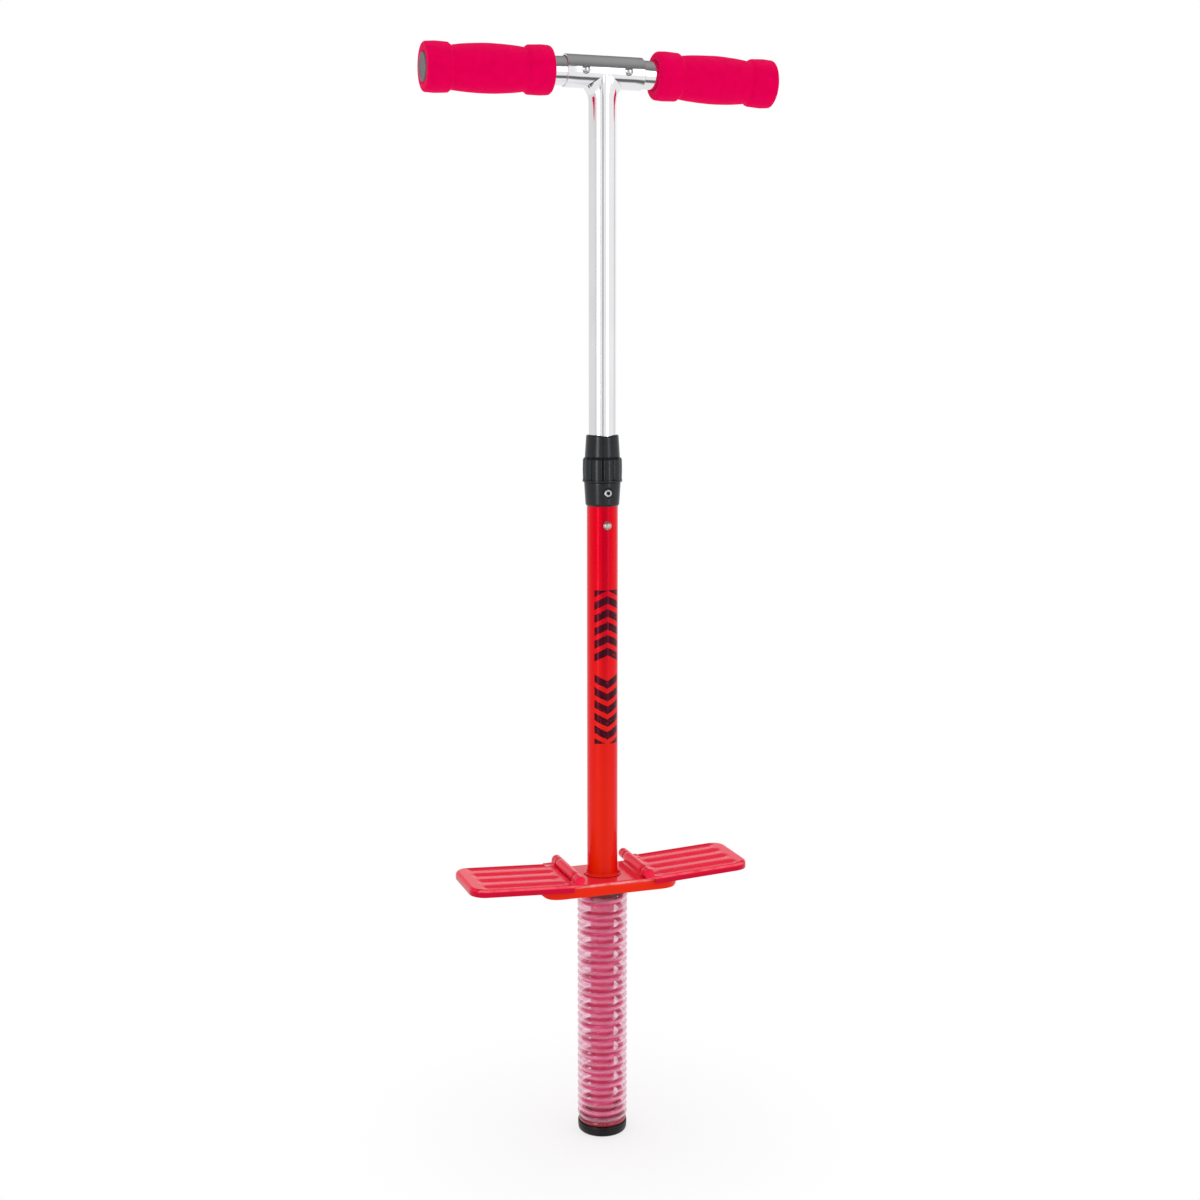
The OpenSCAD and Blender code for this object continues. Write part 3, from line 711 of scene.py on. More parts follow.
def clear_vinyl():
    """Clear soft vinyl: seen through by the camera apart from its gloss, a haze that thickens
    towards its edges and a painted highlight along the crest of each rib. Light passes it freely."""
    look = Look("clear_vinyl")
    streaks = look.noise(1.0, vector=look.stretched((90.0, 90.0, 420.0)))
    facing = look.add("LayerWeight", {"Blend": 0.35}, "Facing")
    look.surface(Base_Color=look.mix(facing * streaks.spread(0.9, 1.1),
                                     rgb(0.86, 0.30, 0.47), rgb(1.0, 0.93, 0.95)),
                 Roughness=streaks.spread(0.10, 0.22),
                 Normal=look.bump(streaks, 0.08, 0.3),
                 Specular_IOR_Level=0.7)
    tint = look.mix(facing, rgb(0.955, 0.855, 0.905), rgb(1.0, 0.97, 0.985))
    crest = radius_of("spring_sleeve")
    x, y, _ = look.xyz()
    # painted highlight along the crest of each rib
    crest_highlight = look.length(x, y).remap(crest - 0.55, crest - 0.1, 0.0, 0.27)
    haze = (facing.remap(0.15, 1.0, 0.04, 0.62) + crest_highlight) * streaks.remap(0.2, 0.8, 0.8, 1.2)
    seen = haze * look.add("LightPath", {}, "Is Camera Ray")
    look.blend(seen, look.add("BsdfTransparent", {"Color": tint}), look.gloss)
    return look.material


RED = red_enamel()
PRINTED_RED = printed_enamel()
POLISHED_UP = polished_metal("polished_stem", "Z")
POLISHED_ACROSS = polished_metal("polished_handle", "X")
BRIGHT_NICKEL = nickel("bright_nickel", rgb(0.62, 0.61, 0.62), 0.10)
DULL_NICKEL = nickel("dull_nickel", rgb(0.60, 0.50, 0.46), 0.36)
SCREW_STEEL = socket_screw()
# painted shade: nearly black steel for the upper spring seat, in the shadow under the base
PAINTED_SHADE_STEEL = nickel("painted_shade_steel", rgb(0.09, 0.05, 0.06), 0.30)
CRIMSON_ENAMEL = crimson_enamel()
PAN_ENAMEL = pan_enamel()
BLACK_PLASTIC = moulded_plastic("black_plastic", rgb(0.006, 0.007, 0.009), 0.22, specular=0.34)
GREY_PLASTIC = moulded_plastic("grey_plastic", rgb(0.115, 0.090, 0.105), 0.5)
WHITE_PLASTIC = moulded_plastic("white_plastic", rgb(0.62, 0.62, 0.60), 0.4)
FOAM = pink_foam()
RUBBER = black_rubber()
SPRING_STEEL = spring_steel()
PLAIN_STEEL = plain_steel()
SHAFT_RED = red_steel("shaft_red", rgb(0.72, 0.045, 0.150), rgb(0.82, 0.075, 0.210))
CUP_RED = red_steel("cup_red", rgb(0.24, 0.002, 0.016), rgb(0.34, 0.003, 0.026))
VINYL = clear_vinyl()


# ---------------------------------------------------------------- handle

def grip_part(side, node, suffix, outline, start, segments, material, slot, shape=None, **options):
    """Lathed piece on a grip's drooping axis. Its heights run outwards from start."""
    verts, faces = lathed(outline, "X" if side > 0 else "-X", (side * start, 0, HANDLE_Z), segments,
                          shape=shape)
    verts = [drooped(side, v) for v in verts]
    piece(node + suffix, verts, faces, "handle", material, node, slot, **options)


def foam_grip(side, node):
    """Foam sleeve with a rounded flange at each end, crisper at the outer one, and a crowned
    middle."""
    inner, outer, flange_r = level_span(node, side)
    length = outer - inner
    flange, step, neck_r, crown_r = 19.0, 2.4, 16.6, 18.78
    bore = STEM_R + GAP
    crown_length, crown_steps = length - 2 * (flange + step), 24
    # the dents lie under the skin by this much, so that none of them swells past the CAD's size
    dent_deep, dent_inset = 0.16, 0.10

    def flange_end(corner):
        return fillet([(bore, 6, 0), (bore, 0.6, 0.5), (bore + 1.2, 0, 0.6),
                       (flange_r - 0.5, 0, corner), (flange_r, flange * 0.45, 12),
                       (flange_r - 0.5, flange, 2.4), (neck_r, flange + step, 0)])

    crown = [(neck_r + (crown_r - neck_r) * sin(pi * k / crown_steps) ** 0.8,
              flange + step + crown_length * k / crown_steps) for k in range(crown_steps + 1)]
    outer_end = [(r, length - h) for r, h in reversed(flange_end(1.9))]
    outline = flange_end(3.4)[:-1] + crown + outer_end[1:]

    def soften(r, t, h):
        """Gently uneven, as squeezed foam is, apart from the bore."""
        if r < bore + 2:
            return r, h
        at = Vector((cos(t) * 1.7, sin(t) * 1.7, h * 0.06 + side * 7))
        return r + dent_deep * noise.noise(at * 1.3) - dent_inset, h

    grip_part(side, node, "_foam", refine(outline, 1.6), inner, 144, FOAM, "pink_foam",
              shape=soften, sharp_deg=60)


def end_plug(side, node):
    """Cap with a rounded rim, a shallow dished face and a stub in the bar."""
    _, outer, r = level_span(node, side)
    rim, dish, stub_r, stub = 2.4, 0.5, STEM_R - TUBE_WALL - 0.05, 16
    outline = fillet([(0, -dish, 0), (r * 0.62, -dish, 3), (r * 0.74, 0, 1), (r, 0, 1.0), (r, -rim, 0.3),
                      (stub_r, -rim, 0.2), (stub_r, -stub, 1), (0, -stub, 0)])
    grip_part(side, node, "_cap", outline, outer, 96, GREY_PLASTIC, "grey_plastic")


def grip_bar(side, node, button):
    inner, outer, _ = level_span(node, side)
    outline = refine(tube_shell(STEM_R, inner, outer), 8)
    grip_part(side, node, "_tube", outline, 0, 144, POLISHED_ACROSS, "polished_tube",
              holes=[button_hole(button, STEM_R)])


def crossbar():
    """Polished tube, a little thinner in the wall than the others, with both button holes."""
    low, high = box_mm("handle_crossbar")
    r, wall, edge, bore_edge = radius_of("handle_crossbar", "z"), 1.2, 0.6, 0.5
    middle, bore = r - wall / 2, r - wall
    outline = fillet([(middle, low.x, 0), (r, low.x, edge), (r, high.x, edge), (bore, high.x, bore_edge),
                      (bore, low.x, bore_edge), (middle, low.x, 0)])
    part = lathed(refine(outline, 8), "X", (0, 0, HANDLE_Z), 160)
    holes = [button_hole(side + "_handle_button", TUBE_R) for side in ("left", "right")]
    piece("handle_crossbar_tube", *part, "handle", POLISHED_ACROSS, "handle_crossbar", "polished_tube",
          holes=holes)


def saddle(r, x_dir):
    """Height of the crossbar's underside above a point r out from the stem's axis, where
    x_dir is the cosine of the point's bearing from the handle."""
    y = min(r * sqrt(max(0.0, 1 - x_dir * x_dir)), TUBE_R - 0.05)
    return HANDLE_Z - sqrt(TUBE_R * TUBE_R - y * y)


def stem():
    """Polished stem whose top follows the crossbar's underside."""
    top = HANDLE_Z - TUBE_R

    def cope(r, t, h):
        return (r, h) if h < top else (r, saddle(r, cos(t)) - GAP)

    outline = tube_shell(STEM_R, z_span("handle_stem")[0], top + 1, edge=0.3)
    part = lathed(refine(outline, 20), segments=144, shape=cope)
    piece("handle_stem_tube", *part, "handle", POLISHED_UP, "handle_stem", "polished_tube",
          holes=[button_hole("height_button", STEM_R)])


def crossbar_weld():
    """Flared bead of weld between stem and crossbar, wider along the handle."""
    low = z_span("crossbar_weld")[0]
    flare_out, steps = 4.1, 14
    front_rise, front_squeeze, into_crossbar = 2.4, 0.72, 0.35
    ripples, ripple_deep = 26, 0.10
    flare = [(STEM_R + GAP, 0.0)] + [
        (STEM_R + 0.15 + flare_out * (1 - cos(pi / 2 * k / steps)) ** 1.25, k / steps)
        for k in range(steps + 1)]

    def bead(r, t, h):
        """Height runs from 0 at the lower edge to 1 at the crossbar. Ripples mark the passes."""
        to_front = abs(sin(t))
        out = (r - STEM_R) * (1 - front_squeeze * to_front ** 2.2)
        ripple = ripple_deep * h * (sin(ripples * t) + noise.noise(Vector((3 * t, h * 4, 1))))
        roof = saddle(min(STEM_R + out, TUBE_R - 0.3), cos(t)) + into_crossbar
        start = low + front_rise * to_front
        return STEM_R + out + ripple * min(1, r - STEM_R), start + (roof - start) * h

    part = lathed(flare, segments=180, shape=bead)
    piece("crossbar_weld_bead", *part, "handle", POLISHED_UP, "crossbar_weld", "polished_tube",
          sharp_deg=70)


def dome_button(node, finish):
    """Snap button: a polished dome with a small step round its foot, on a stud."""
    centre, r, tip = middle_of(node), radius_of(node), -box_mm(node)[0].y
    shoulder, flange, stud_r, stud_end = TUBE_R + 0.25, 8.7, 1.5, 7.0
    cap = arc((0, shoulder), r * 0.93, 90, 0, 12, rise=tip - shoulder)
    outline = cap + [(r, shoulder - 0.15), (r, flange), (stud_r, flange), (stud_r, stud_end), (0, stud_end)]
    part = lathed(outline, "-Y", (centre.x, 0, centre.z), 72)
    return piece(node + "_dome", *part, node, finish, node, "chrome")


def height_button():
    """The height button's dome, with a mesh of its own."""
    dome = dome_button("height_button", DULL_NICKEL)
    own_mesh(dome)


# ---------------------------------------------------------------- collar

def collar_piece(name, outline, step, segments, shape, node, body="frame"):
    part = lathed(refine(outline, step), segments=segments, shape=shape)
    piece(name, *part, body, BLACK_PLASTIC, node, "black_plastic")


def twist_ring():
    """Ring with ten broad lobes, eased top and bottom edges and a raised lip at its foot."""
    r, bore, lobes, lip = radius_of("twist_ring"), 14.0, 10, 1.6
    lip_r, side_r, belly_r = r - 0.15, r - 0.5, r - 0.35
    outline = fillet([(bore, RING_LOW, 0), (lip_r, RING_LOW, 0.6), (lip_r, RING_LOW + lip, 0.3),
                      (side_r, RING_LOW + lip + 0.5, 0.3), (belly_r, (RING_LOW + RING_HIGH) / 2, 8),
                      (side_r, RING_HIGH - lip, 0.6), (r - 1.6, RING_HIGH, 0.5), (bore, RING_HIGH, 0)],
                     steps=4)
    groove_deep, groove_share, swell, top_fade = 1.25, 0.075, 0.12, 0.8

    def lobed(radius, t, h):
        if radius < bore + 1:
            return radius, h
        phase = (t + pi / 2) * lobes / (2 * pi) % 1.0
        groove = exp(-((min(phase, 1 - phase) - 0.5) / groove_share) ** 2)
        inwards = groove_deep * groove + swell * (1 - cos(2 * pi * phase))
        return radius - inwards * clamped(h - RING_LOW - lip) * clamped((RING_HIGH - h) / top_fade), h

    collar_piece("twist_ring_shell", outline + outline[:1], 1.2, 480, lobed, "twist_ring", "twist_ring")


def collar_top():
    """Tapered upper collar whose rim dips at the front."""
    z0, z1 = z_span("collar_top")
    r0, bore = radius_of("collar_top"), STEM_R + 0.06
    r1 = r0 - 1.05
    dip, dip_half_width, dip_reach, side_fade = 1.0, 9.5, 8.0, 4.0
    outline = fillet([(TUBE_R + 0.4, z0, 0), (r0, z0, 0.5), (r0 - 0.02, z0 + 1.5, 0.5), (r1, z1 - 0.4, 0.9),
                      (r1 - 1.0, z1, 0.4), (bore, z1 - 0.3, 0.3), (bore, z1 - 3, 0)], steps=4)

    def dipped(radius, t, h):
        x, y = radius * cos(t), radius * sin(t)
        if y > 0:
            return radius, h
        drop = dip * (1 + cos(pi * min(1.0, abs(x) / dip_half_width))) / 2
        return radius, h - drop * clamped((h - z1) / dip_reach + 1) * min(1.0, -y / side_fade)

    collar_piece("collar_top_shell", outline, 1.0, 192, dipped, "collar_top")


def collar_body():
    """Lower collar, narrowing downwards, with a recess in front for its screw."""
    z0, z1, neck_top = z_span("collar_body")[0], RING_LOW - 0.1, RING_HIGH + 0.1
    r0, r1, neck_r, bore = 13.8, radius_of("collar_body"), 13.95, TUBE_R + GAP
    screw_z = middle_of("collar_screw").z
    recess_r, recess_edge, floor_y = 3.75, 0.5, 13.3
    outline = fillet([(bore, z0 + 1, 0), (bore, z0, 0.2), (r0 - 0.9, z0, 0.5), (r0, z0 + 1.2, 1.6),
                      (r1, z1 - 1.4, 3), (r1, z1, 0.6), (neck_r, z1, 0.2), (neck_r, neck_top, 0),
                      (bore, neck_top, 0)])

    def sunk(radius, t, h):
        """Presses a round flat-floored recess into the front."""
        off = hypot(radius * cos(t), h - screw_z)
        if sin(t) > 0 or radius < TUBE_R + 0.3 or off > recess_r + recess_edge:
            return radius, h
        floor_r = floor_y / max(0.2, -sin(t))
        share = clamped((recess_r + recess_edge - off) / recess_edge)
        return radius + (min(radius, floor_r) - radius) * share, h

    collar_piece("collar_body_shell", outline, 0.7, 540, sunk, "collar_body")


def collar_screw():
    """Round head with a bright ring and a six-sided socket that its material darkens with painted shade."""
    centre, r, tip = middle_of("collar_screw"), radius_of("collar_screw"), -box_mm("collar_screw")[0].y
    base, socket_r, shank_r, shank_end = tip - 1.3, 1.55, 1.6, 11.3
    outline = fillet([(0, base + 0.3, 0), (socket_r, base + 0.3, 0.05), (socket_r, tip - 0.05, 0.1),
                      (2.4, tip, 0.5), (r, tip - 0.45, 0.35), (r, base, 0.1), (shank_r, base, 0.05),
                      (shank_r, shank_end, 0), (0, shank_end, 0)], steps=4)

    def hexed(radius, t, h):
        if abs(radius - socket_r) > 0.12 or h < base:
            return radius, h
        sector = t % (pi / 3) - pi / 6
        return radius * cos(pi / 6) / cos(sector) * 1.06, h

    part = lathed(outline, "-Y", (0, 0, centre.z), 72, shape=hexed)
    piece("collar_screw_head", *part, "frame", SCREW_STEEL, "collar_screw", "chrome")


# ---------------------------------------------------------------- main tube, base and pedals

def main_tube():
    """Seamless painted tube with the height button's hole."""
    part = lathed(refine(tube_shell(TUBE_R, *z_span("main_tube")), 12), segments=192)
    piece("main_tube_shell", *part, "frame", PRINTED_RED, "main_tube", "red_enamel",
          holes=[button_hole("height_button", TUBE_R)])


def weld_bead():
    """Ring of weld round the foot of the main tube, with stacked ripples."""
    z0, z1 = z_span("base_weld")
    inner, into_base = TUBE_R + GAP / 2, 0.1
    size = z1 - z0 + into_base
    ripples, ripple_deep, dent_deep = 34, 0.10, 0.16

    def ripple(r, t, h):
        wave = ripple_deep * sin(ripples * t)
        wave += dent_deep * noise.noise(Vector((4 * cos(t), 4 * sin(t), 2)))
        return r + wave * (r - TUBE_R) / size, h + wave * (h - z0) / size

    hollow = arc((TUBE_R + size, z0 + size), size * 0.78, 270, 180, 10)
    part = lathed([(inner, z0 - into_base), *hollow, (inner, z1)], segments=220, shape=ripple)
    piece("base_weld_bead", *part, "frame", RED, "base_weld", "red_enamel", sharp_deg=70)


def pressed_rings(half_width, depth, bend):
    """(inset, drop below the top, outer face?) of each ring of a pressed pan, from the middle
    of its top, over the bend and down the skirt, then back up inside."""
    across, down = 26, 4
    inner = max(bend - SHEET, 0.3)
    insets = [half_width * k / across for k in range(1, across + 1)]
    outside = [(inset, 0.0) for inset in reversed(insets) if inset > bend]
    outside += arc((bend, bend), bend, 270, 180, 6)
    outside += between((0.0, bend), (0.0, depth), down)
    outside += [(0.15, depth - 0.1), (SHEET / 2, depth), (SHEET - 0.15, depth - 0.1)]
    inside = between((SHEET, depth), (SHEET, bend), down)
    inside += arc((SHEET + inner, SHEET + inner), inner, 180, 270, 4)
    inside += [(inset, SHEET) for inset in insets if inset > SHEET + inner]
    return [(*p, True) for p in outside] + [(*p, False) for p in inside]


def pan_loop(half_x, half_y, corner, inset):
    """Closed plan outline of a rounded rectangle, moved in by inset, always with the same
    number of points."""
    per_arc, per_side = 10, 12
    r = max(corner - inset, 0.01)
    x, y = half_x - inset - r, half_y - inset - r
    corners = [arc(centre, r, start, start + 90, per_arc)
               for start, centre in ((0, (x, y)), (90, (-x, y)), (180, (-x, -y)), (270, (x, -y)))]
    points = []
    for here, there in zip(corners, corners[1:] + corners[:1]):
        points += here + between(here[-1], there[0], per_side)
    return points


def pedal_loop(x_in, x_out, half, corner, inset):
    """Open plan outline of a pedal: along the front edge, round the outer end and back
    along the rear edge."""
    per_arc, per_side, per_end = 10, 40, 16
    r = max(corner - inset, 0.01)
    x, y = x_out - inset - r, half - inset
    first, last = (x_in, -y), (x_in, y)
    front = arc((x, r - y), r, -90, 0, per_arc)
    rear = arc((x, y - r), r, 0, 90, per_arc)
    return ([first] + between(first, front[0], per_side) + front + between(front[-1], rear[0], per_end)
            + rear + between(rear[-1], last, per_side) + [last])


def hinge_mount(x):
    """Web and barrel on the base plate that carry one pedal's pin."""
    web_half, y, bore = 3.5, KNUCKLE_IN - 0.5, 2.55
    x0, x1 = x - web_half, x + web_half
    foot, flare = 0.3, 1.2
    web = fillet([(x0, BASE_Z + 2, 0), (x0, HINGE_Z, 0), (x1, HINGE_Z, 0), (x1, BASE_Z + 1, 1),
                  (x1 + flare, BASE_Z - foot, 0), (x0 - flare, BASE_Z - foot, 0), (x0, BASE_Z + 1, 1),
                  (x0, BASE_Z + 2, 0)], steps=4)
    barrel = fillet([(bore, -y, 0), (BARREL_R, -y, 0.5), (BARREL_R, y, 0.5), (bore, y, 0)], steps=4)
    return [extruded(web, -y, y, edge=0.3),
            lathed(refine(barrel + barrel[:1], 6), "Y", (x, 0, HINGE_Z), 64)]


def stop_bead(x):
    """Low round bead across the base plate, on which a pedal rests."""
    r, rise, half_length = 4.0, 1.44, 15.0
    bead = arc((x, BASE_Z - r + rise), r, 30, 150, 10)
    foot = [(x + end * 0.85 * r, BASE_Z - 0.5) for end in (-1, 1)]
    return extruded(bead + foot, -half_length, half_length, edge=0.8)


def base_pan():
    """Pressed pan with rounded ends, its stop beads, hinge webs and barrels."""
    half_x, half_y = radius_of("base_plate"), radius_of("base_plate", "y")
    depth = BASE_Z - z_span("base_plate")[0]
    corner, end_r, bead_x = 18.0, 8.0, 52.0

    def skirt(x, drop):
        """The skirt's lower edge rises in a curve towards each end of the pan."""
        if drop <= SHEET + 0.2:
            return drop
        past = clamped((abs(x) - half_x) / end_r + 1)
        rise = end_r * (1 - sqrt(1 - past * past))
        return drop * min(1.0, max(SHEET + 0.4, depth - rise) / depth)

    rings = pressed_rings(half_y, depth, bend=3.2)
    verts = [(x, y, BASE_Z - skirt(x, drop))
             for inset, drop, _ in rings for x, y in pan_loop(half_x, half_y, corner, inset)]
    shells = [(verts, skin(len(rings), len(verts) // len(rings)))]
    for side in (-1, 1):
        shells += [*hinge_mount(side * HINGE_X), stop_bead(side * bead_x)]
    piece("base_pan", *joined(*shells), "frame", PAN_ENAMEL, "base_plate", "red_enamel")


def tread_height(x, y, x_in, x_out):
    """Rise and fall of the pressed tread: four long grooves that fade out at both ends."""
    spacing, half_width, deep, fade_length = 16.5, 3.3, 1.25, 6
    ends = clamped((x - x_in - 4) / fade_length) * clamped((x_out - 9 - x) / fade_length)
    grooves = sum(exp(-((y - spacing * k) / half_width) ** 2) for k in (-1.5, -0.5, 0.5, 1.5))
    return -deep * grooves * ends * ends * (3 - 2 * ends)


def knuckle_outline(x_in, top):
    """Side view of the sheet rolled round the pin, as one closed (x, z) outline."""
    wrap = arc((HINGE_X, HINGE_Z), BARREL_R, 0, 235, 28)
    lap = 7.5
    end = x_in + lap
    tail = [(HINGE_X - 0.4, top - SHEET + 0.1), (end, top - SHEET), (end, top - 0.1)]
    return wrap + tail + [(HINGE_X + BARREL_R + 0.9, top + 0.1), (HINGE_X + BARREL_R + 0.2, top + 0.9)]


def pedal(side, node):
    """Pressed pedal with grooved tread, turned-down edge and hinge knuckles. It is drawn level
    on the right, and then tilted about its hinge."""
    c, s = cos(PEDAL_TILT), sin(PEDAL_TILT)
    x_in, depth, corner = 35.0, 6.5, 12.0
    x_out = HINGE_X + (box_mm("right_pedal")[1].x - HINGE_X - (PEDAL_DROP + depth) * s) / c
    top = HINGE_Z - PEDAL_DROP
    rings = pressed_rings(PEDAL_HALF, depth, bend=2.6)
    verts = []
    for inset, drop, outer in rings:
        grooved = drop < 0.05 or (not outer and drop <= SHEET + 0.01)
        for x, y in pedal_loop(x_in, x_out, PEDAL_HALF, corner, min(inset, PEDAL_HALF - GAP)):
            verts.append((x, y, top - drop + (tread_height(x, y, x_in, x_out) if grooved else 0.0)))
    count = len(verts) // len(rings)
    faces = skin(len(rings), count, wrap_columns=False)
    # the cut edge at the inner end joins the outer face's points to the inner face's
    for end in (0, count - 1):
        strip = [k * count + end for k in range(len(rings))]
        for k in range(len(rings) // 2 - 1):
            faces.append((strip[k], strip[k + 1], strip[-2 - k], strip[-1 - k]))
    knuckles = [extruded(knuckle_outline(x_in, top), y0, y1, edge=0.6)
                for y0, y1 in ((-KNUCKLE_OUT, -KNUCKLE_IN), (KNUCKLE_IN, KNUCKLE_OUT))]
    verts, faces = joined((verts, faces), *knuckles)
    part = [(HINGE_X + (x - HINGE_X) * c - (z - HINGE_Z) * s, y,
             HINGE_Z + (x - HINGE_X) * s + (z - HINGE_Z) * c) for x, y, z in verts], faces
    piece(node + "_pressing", *(part if side > 0 else mirrored(part)), node, CRIMSON_ENAMEL, node,
          "red_enamel")


def hinge_pin(side, node):
    """Pin with a domed head at each end."""
    head_r, head_h, brim, rod_r = 3.75, 1.5, 0.2, 2.5
    base = radius_of(node, "y") - head_h

    def head(end):
        dome = arc((0, end * (base + brim)), head_r, 0, 90, 8, rise=end * (head_h - brim))
        return [(rod_r, end * base), (head_r, end * base)] + dome

    part = lathed(head(1)[::-1] + head(-1), "Y", (side * HINGE_X, 0, HINGE_Z), 64)
    piece(node + "_rod", *part, "frame", CRIMSON_ENAMEL, node, "dark_red_steel")


# ---------------------------------------------------------------- spring, sleeve and foot

def spring():
    """Round-wire coil spring with closed ends."""
    z0, z1 = z_span("spring")
    wire_r = 2.25
    mid_r = radius_of("spring") - wire_r
    coils, end_pitch = 13.6, 4.725
    pitch = (z1 - z0 - 2 * wire_r - 2 * end_pitch) / coils
    turns, per_turn, sides = coils + 2, 60, 16
    steps = round(turns * per_turn)

    def climb(t):
        """Rise after t turns: one closed turn, the open coils, and another closed turn."""
        return (min(t, 1) + max(t - 1 - coils, 0)) * end_pitch + min(max(t - 1, 0), coils) * pitch

    verts = []
    for i in range(steps + 1):
        t = turns * i / steps
        rise = (climb(min(t + 0.15, turns)) + climb(max(t - 0.15, 0))) / 2
        for j in range(sides):
            b = 2 * pi * j / sides
            r, a = mid_r + wire_r * cos(b), 2 * pi * t
            verts.append((r * cos(a), r * sin(a), z0 + wire_r + rise + wire_r * sin(b)))
    faces = skin(steps + 1, sides)
    faces += [tuple(range(sides)), tuple(range(steps * sides, (steps + 1) * sides))]
    shorten(piece("coil_spring", verts, faces, "frame", SPRING_STEEL, "spring", "spring_steel"), z0, z1)


def sleeve():
    """Clear vinyl bellows: soft ribs, a plain cuff near the top, thin wall."""
    z0, z1 = z_span("spring_sleeve")
    crest = radius_of("spring_sleeve")
    rib_deep, wall, ribs, cuff, per_rib = 1.4, 0.6, 31, 7.0, 12
    pitch = (z1 - z0 - cuff) / ribs
    cuff_low = z0 + (ribs - 1) * pitch
    cuff_high = cuff_low + cuff

    def ribbed(start, count):
        """Some ribs upwards from start."""
        shares = [0.5 - 0.5 * cos(2 * pi * i / per_rib) for i in range(count * per_rib + 1)]
        return [(crest - rib_deep + rib_deep * share ** 0.8, start + i / per_rib * pitch)
                for i, share in enumerate(shares)]

    outer = ribbed(z0, ribs - 1)
    outer += [(crest - 0.25, cuff_low + 1), (crest - 0.2, cuff_low + cuff / 2), (crest - 0.25, cuff_high - 1)]
    outer += ribbed(cuff_high, 1)
    inner = [(r - wall, h) for r, h in reversed(outer)]
    part = lathed(outer + inner, segments=96, closed=True)
    cover = piece("clear_sleeve", *part, "frame", VINYL, "spring_sleeve", "clear_vinyl", sharp_deg=80)
    shorten(cover, z0, z1)


def shaft_tube():
    part = lathed(refine(tube_shell(SHAFT_R, *z_span("shaft")), 12))
    piece("shaft_tube", *part, "plunger", SHAFT_RED, "shaft", "dark_red_steel")


def lower_seat():
    """Cup with a rolled rim and a boss that centres the spring."""
    z0, z1 = z_span("lower_spring_seat")
    r, bore, boss = radius_of("lower_spring_seat"), SHAFT_R + 0.03, 13.1
    disc_top = z0 + 3.7
    outline = fillet([(bore, z0, 0), (r - 0.3, z0, 0.6), (r, z0 + 1.8, 1.0), (r - 0.35, disc_top, 0.7),
                      (boss + 0.6, disc_top, 0.8), (boss, disc_top + 1, 1), (boss, z1, 1.0), (bore, z1, 0)])
    part = lathed(outline + outline[:1])
    piece("lower_seat_cup", *part, "plunger", CUP_RED, "lower_spring_seat", "dark_red_steel")


def rubber_foot():
    """Rubber foot with two shallow rings underneath, a rounded tread edge and a moulding line
    round its side."""
    z0, z1 = z_span("foot_tip")
    r, pocket = radius_of("foot_tip"), SHAFT_R + 0.03
    floor_z, groove_z, seam_z = z0 + 4.0, z0 + 0.9, z0 + 6.6
    corners = [(0, z0, 0)]
    for inner in (6, 12):
        corners += [(inner, z0, 0.3), (inner + 0.6, groove_z, 0.3), (inner + 2.4, groove_z, 0.3),
                    (inner + 3, z0, 0.3)]
    corners += [(r - 0.35, z0, 4.2), (r, seam_z - 0.4, 0.4), (r - 0.25, seam_z, 0.2), (r, seam_z + 0.4, 0.4),
                (r - 0.1, z1, 1.0), (pocket + 0.2, z1, 0.3), (pocket, floor_z, 0), (0, floor_z, 0)]
    part = lathed(fillet(corners), segments=160)
    piece("rubber_foot", *part, "plunger", RUBBER, "foot_tip", "black_rubber")


# ---------------------------------------------------------------- all the pieces

# hidden nodes that keep their CAD shape
CARRIED = {
    # the upper spring seat takes painted shade
    "upper_spring_seat": PAINTED_SHADE_STEEL, "guide_bush": WHITE_PLASTIC, "collet": WHITE_PLASTIC,
    "stem_end_bush": WHITE_PLASTIC, "left_button_clip": PLAIN_STEEL, "right_button_clip": PLAIN_STEEL,
    "height_button_clip": PLAIN_STEEL, "shaft_top_bush": WHITE_PLASTIC, "top_bush_rivet": PLAIN_STEEL,
    "rebound_ring": RUBBER, "shaft_end_plug": PLAIN_STEEL,
}


def dress_carried():
    for node, material in CARRIED.items():
        mesh = frame["nodes"][node].data
        mesh.materials.clear()
        mesh.materials.append(material)


def build():
    for side, name in ((-1, "left"), (1, "right")):
        foam_grip(side, name + "_foam_grip")
        end_plug(side, name + "_end_plug")
        grip_bar(side, name + "_grip_bar", name + "_handle_button")
        dome_button(name + "_handle_button", BRIGHT_NICKEL)
        pedal(side, name + "_pedal")
        hinge_pin(side, name + "_hinge_pin")
    crossbar()
    stem()
    crossbar_weld()
    height_button()
    twist_ring()
    collar_top()
    collar_body()
    collar_screw()
    main_tube()
    base_pan()
    weld_bead()
    spring()
    sleeve()
    shaft_tube()
    lower_seat()
    rubber_foot()
    dress_carried()


# ---------------------------------------------------------------- studio

def area_light(name, at, size, power):
    """Soft light on the middle of the stick. It is never seen mirrored: the surround is."""
    target = Vector((0, 0, 0.5))
    data = bpy.data.lights.new(name, "AREA")
    data.shape = "RECTANGLE"
    data.size, data.size_y = size
    data.energy = power
    lamp = in_scene(name, data)
    lamp.location = at
    lamp.rotation_mode = "QUATERNION"
    lamp.rotation_quaternion = (target - Vector(at)).to_track_quat("-Z", "Y")
    lamp.visible_glossy = False


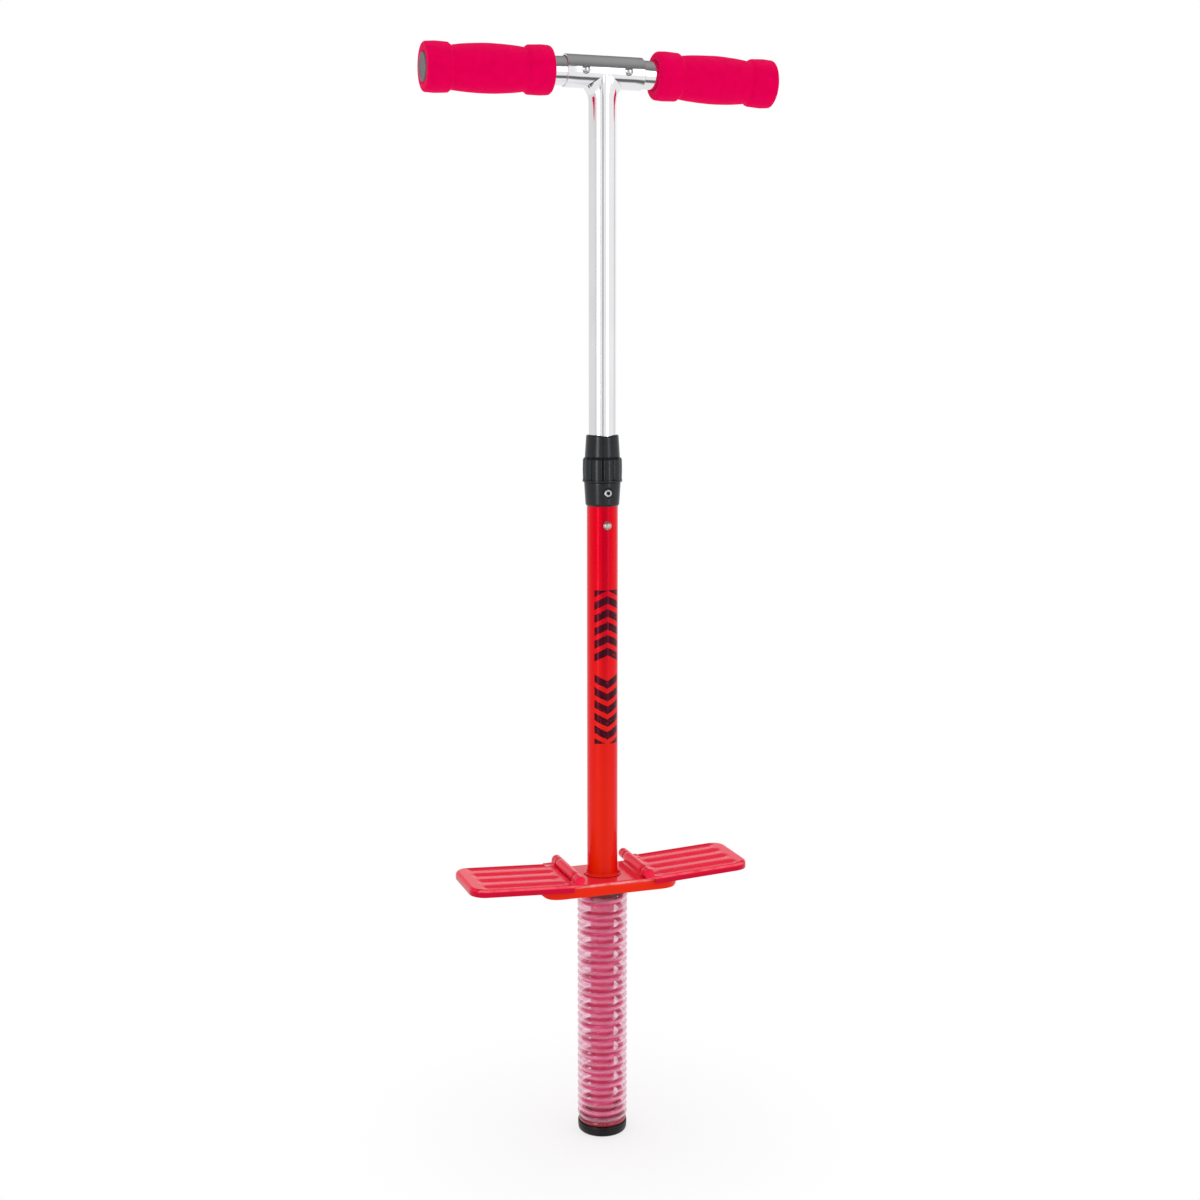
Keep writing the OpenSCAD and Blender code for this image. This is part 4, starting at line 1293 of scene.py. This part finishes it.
def floor():
    """Plain pale floor that catches a faint soft shadow near the foot and is white beyond."""
    bpy.ops.mesh.primitive_plane_add(size=30, location=(0, 0, 0))
    plane = bpy.context.object
    plane.name = "studio_floor"
    look = Look("studio_floor")
    look.surface(Base_Color=look.mix(look.noise(2.0), rgb(0.93, 0.93, 0.93), rgb(0.95, 0.95, 0.95)),
                 Roughness=0.9, Specular_IOR_Level=0.0)
    away = look.add("VectorMath", {0: look.place}, "Value", operation="LENGTH")
    look.blend(away.remap(0.02, 0.22, 0.72, 1.0), look.gloss, look.add("Emission", {}))
    plane.data.materials.append(look.material)
    plane.visible_glossy = False


# light and dark uprights of the surround as mirrored: bearing from the front, width, soft edge
# (all in degrees) and the factor on the light there
UPRIGHTS = (
    (-52, 13, 6, 7.0),
    (25, 10, 6, 4.5),
    (-15, 10, 6, 0.40),
    (-80, 10, 5, 0.72),
    (98, 8, 3, 0.50),
    (-130, 90, 16, 0.86),
)


def mirrored_light(sky):
    """What polished pieces mirror: uprights, a grey ceiling above them and a dark edge low in
    front. Heights are the Z of a direction, from -1 straight down to 1 straight up."""
    x, y, up = sky.split(sky.add("TexCoord", {}, "Generated"))
    bearing = sky.bearing(x, y)
    light = 1.0
    for at, width, edge, factor in UPRIGHTS:
        off = abs(bearing - radians(at))
        light = light * off.remap(radians(width - edge) / 2, radians(width + edge) / 2, factor, 1.0)
    beside_uprights = up.remap(0.35, 0.48, 1.0, 0.0) * up.remap(-0.27, -0.15, 0.0, 1.0)
    light = (light - 1.0) * beside_uprights + 1.0
    ceiling = up.remap(0.34, 0.44, 1.0, 0.18) * up.remap(0.5, 1.0, 1.0, 2.0)
    low_edge = abs(up + 0.78).remap(0.07, 0.14, 0.15, 1.0)
    behind = 1.0 - (y < 0.0)
    return light * ceiling * sky.larger(low_edge, behind) * 0.92


def surround():
    """White surround, with uprights and a ceiling where it is mirrored."""
    world = bpy.data.worlds.new("studio")
    bpy.context.scene.world = world
    world.use_nodes = True
    # light the scene only by rays that leave it, so that what is mirrored is always the uprights
    world.cycles.sampling_method = "NONE"
    sky = Graph(world.node_tree, interpolation="SMOOTHSTEP")
    seen = sky.add("LightPath", {}, "Is Camera Ray")
    glossy = sky.add("LightPath", {}, "Is Glossy Ray")
    unseen_light = 0.80
    plain = (seen * (1.0 - unseen_light) + unseen_light) * (1.0 - glossy)
    background = sky.nodes["Background"]
    sky.feed(background.inputs["Color"], rgb(1, 1, 1))
    sky.feed(background.inputs["Strength"], mirrored_light(sky) * glossy + plain)


def studio():
    floor()
    surround()
    area_light("key", at=(-1.5, -1.9, 1.9), size=(1.2, 1.6), power=6)
    area_light("fill", at=(1.8, -1.3, 1.2), size=(1.0, 1.8), power=3)
    area_light("top", at=(0.1, 0.3, 2.3), size=(1.4, 1.4), power=4)


def camera():
    """Stands to the left of the front, level with the middle of the stick, looking slightly down."""
    away, height = 1.4063, 0.6726
    bearing, turn, tilt = radians(-19.41), radians(0.0785), radians(8.627)
    data = bpy.data.cameras.new("camera")
    data.lens, data.sensor_width = 51.915, 36.0
    cam = in_scene("camera", data)
    cam.location = (away * sin(bearing), -away * cos(bearing), height)
    cam.rotation_euler = (pi / 2 - tilt, 0, bearing + turn)
    bpy.context.scene.camera = cam


build()
studio()
camera()
bpy.context.scene.view_settings.view_transform = "Standard"
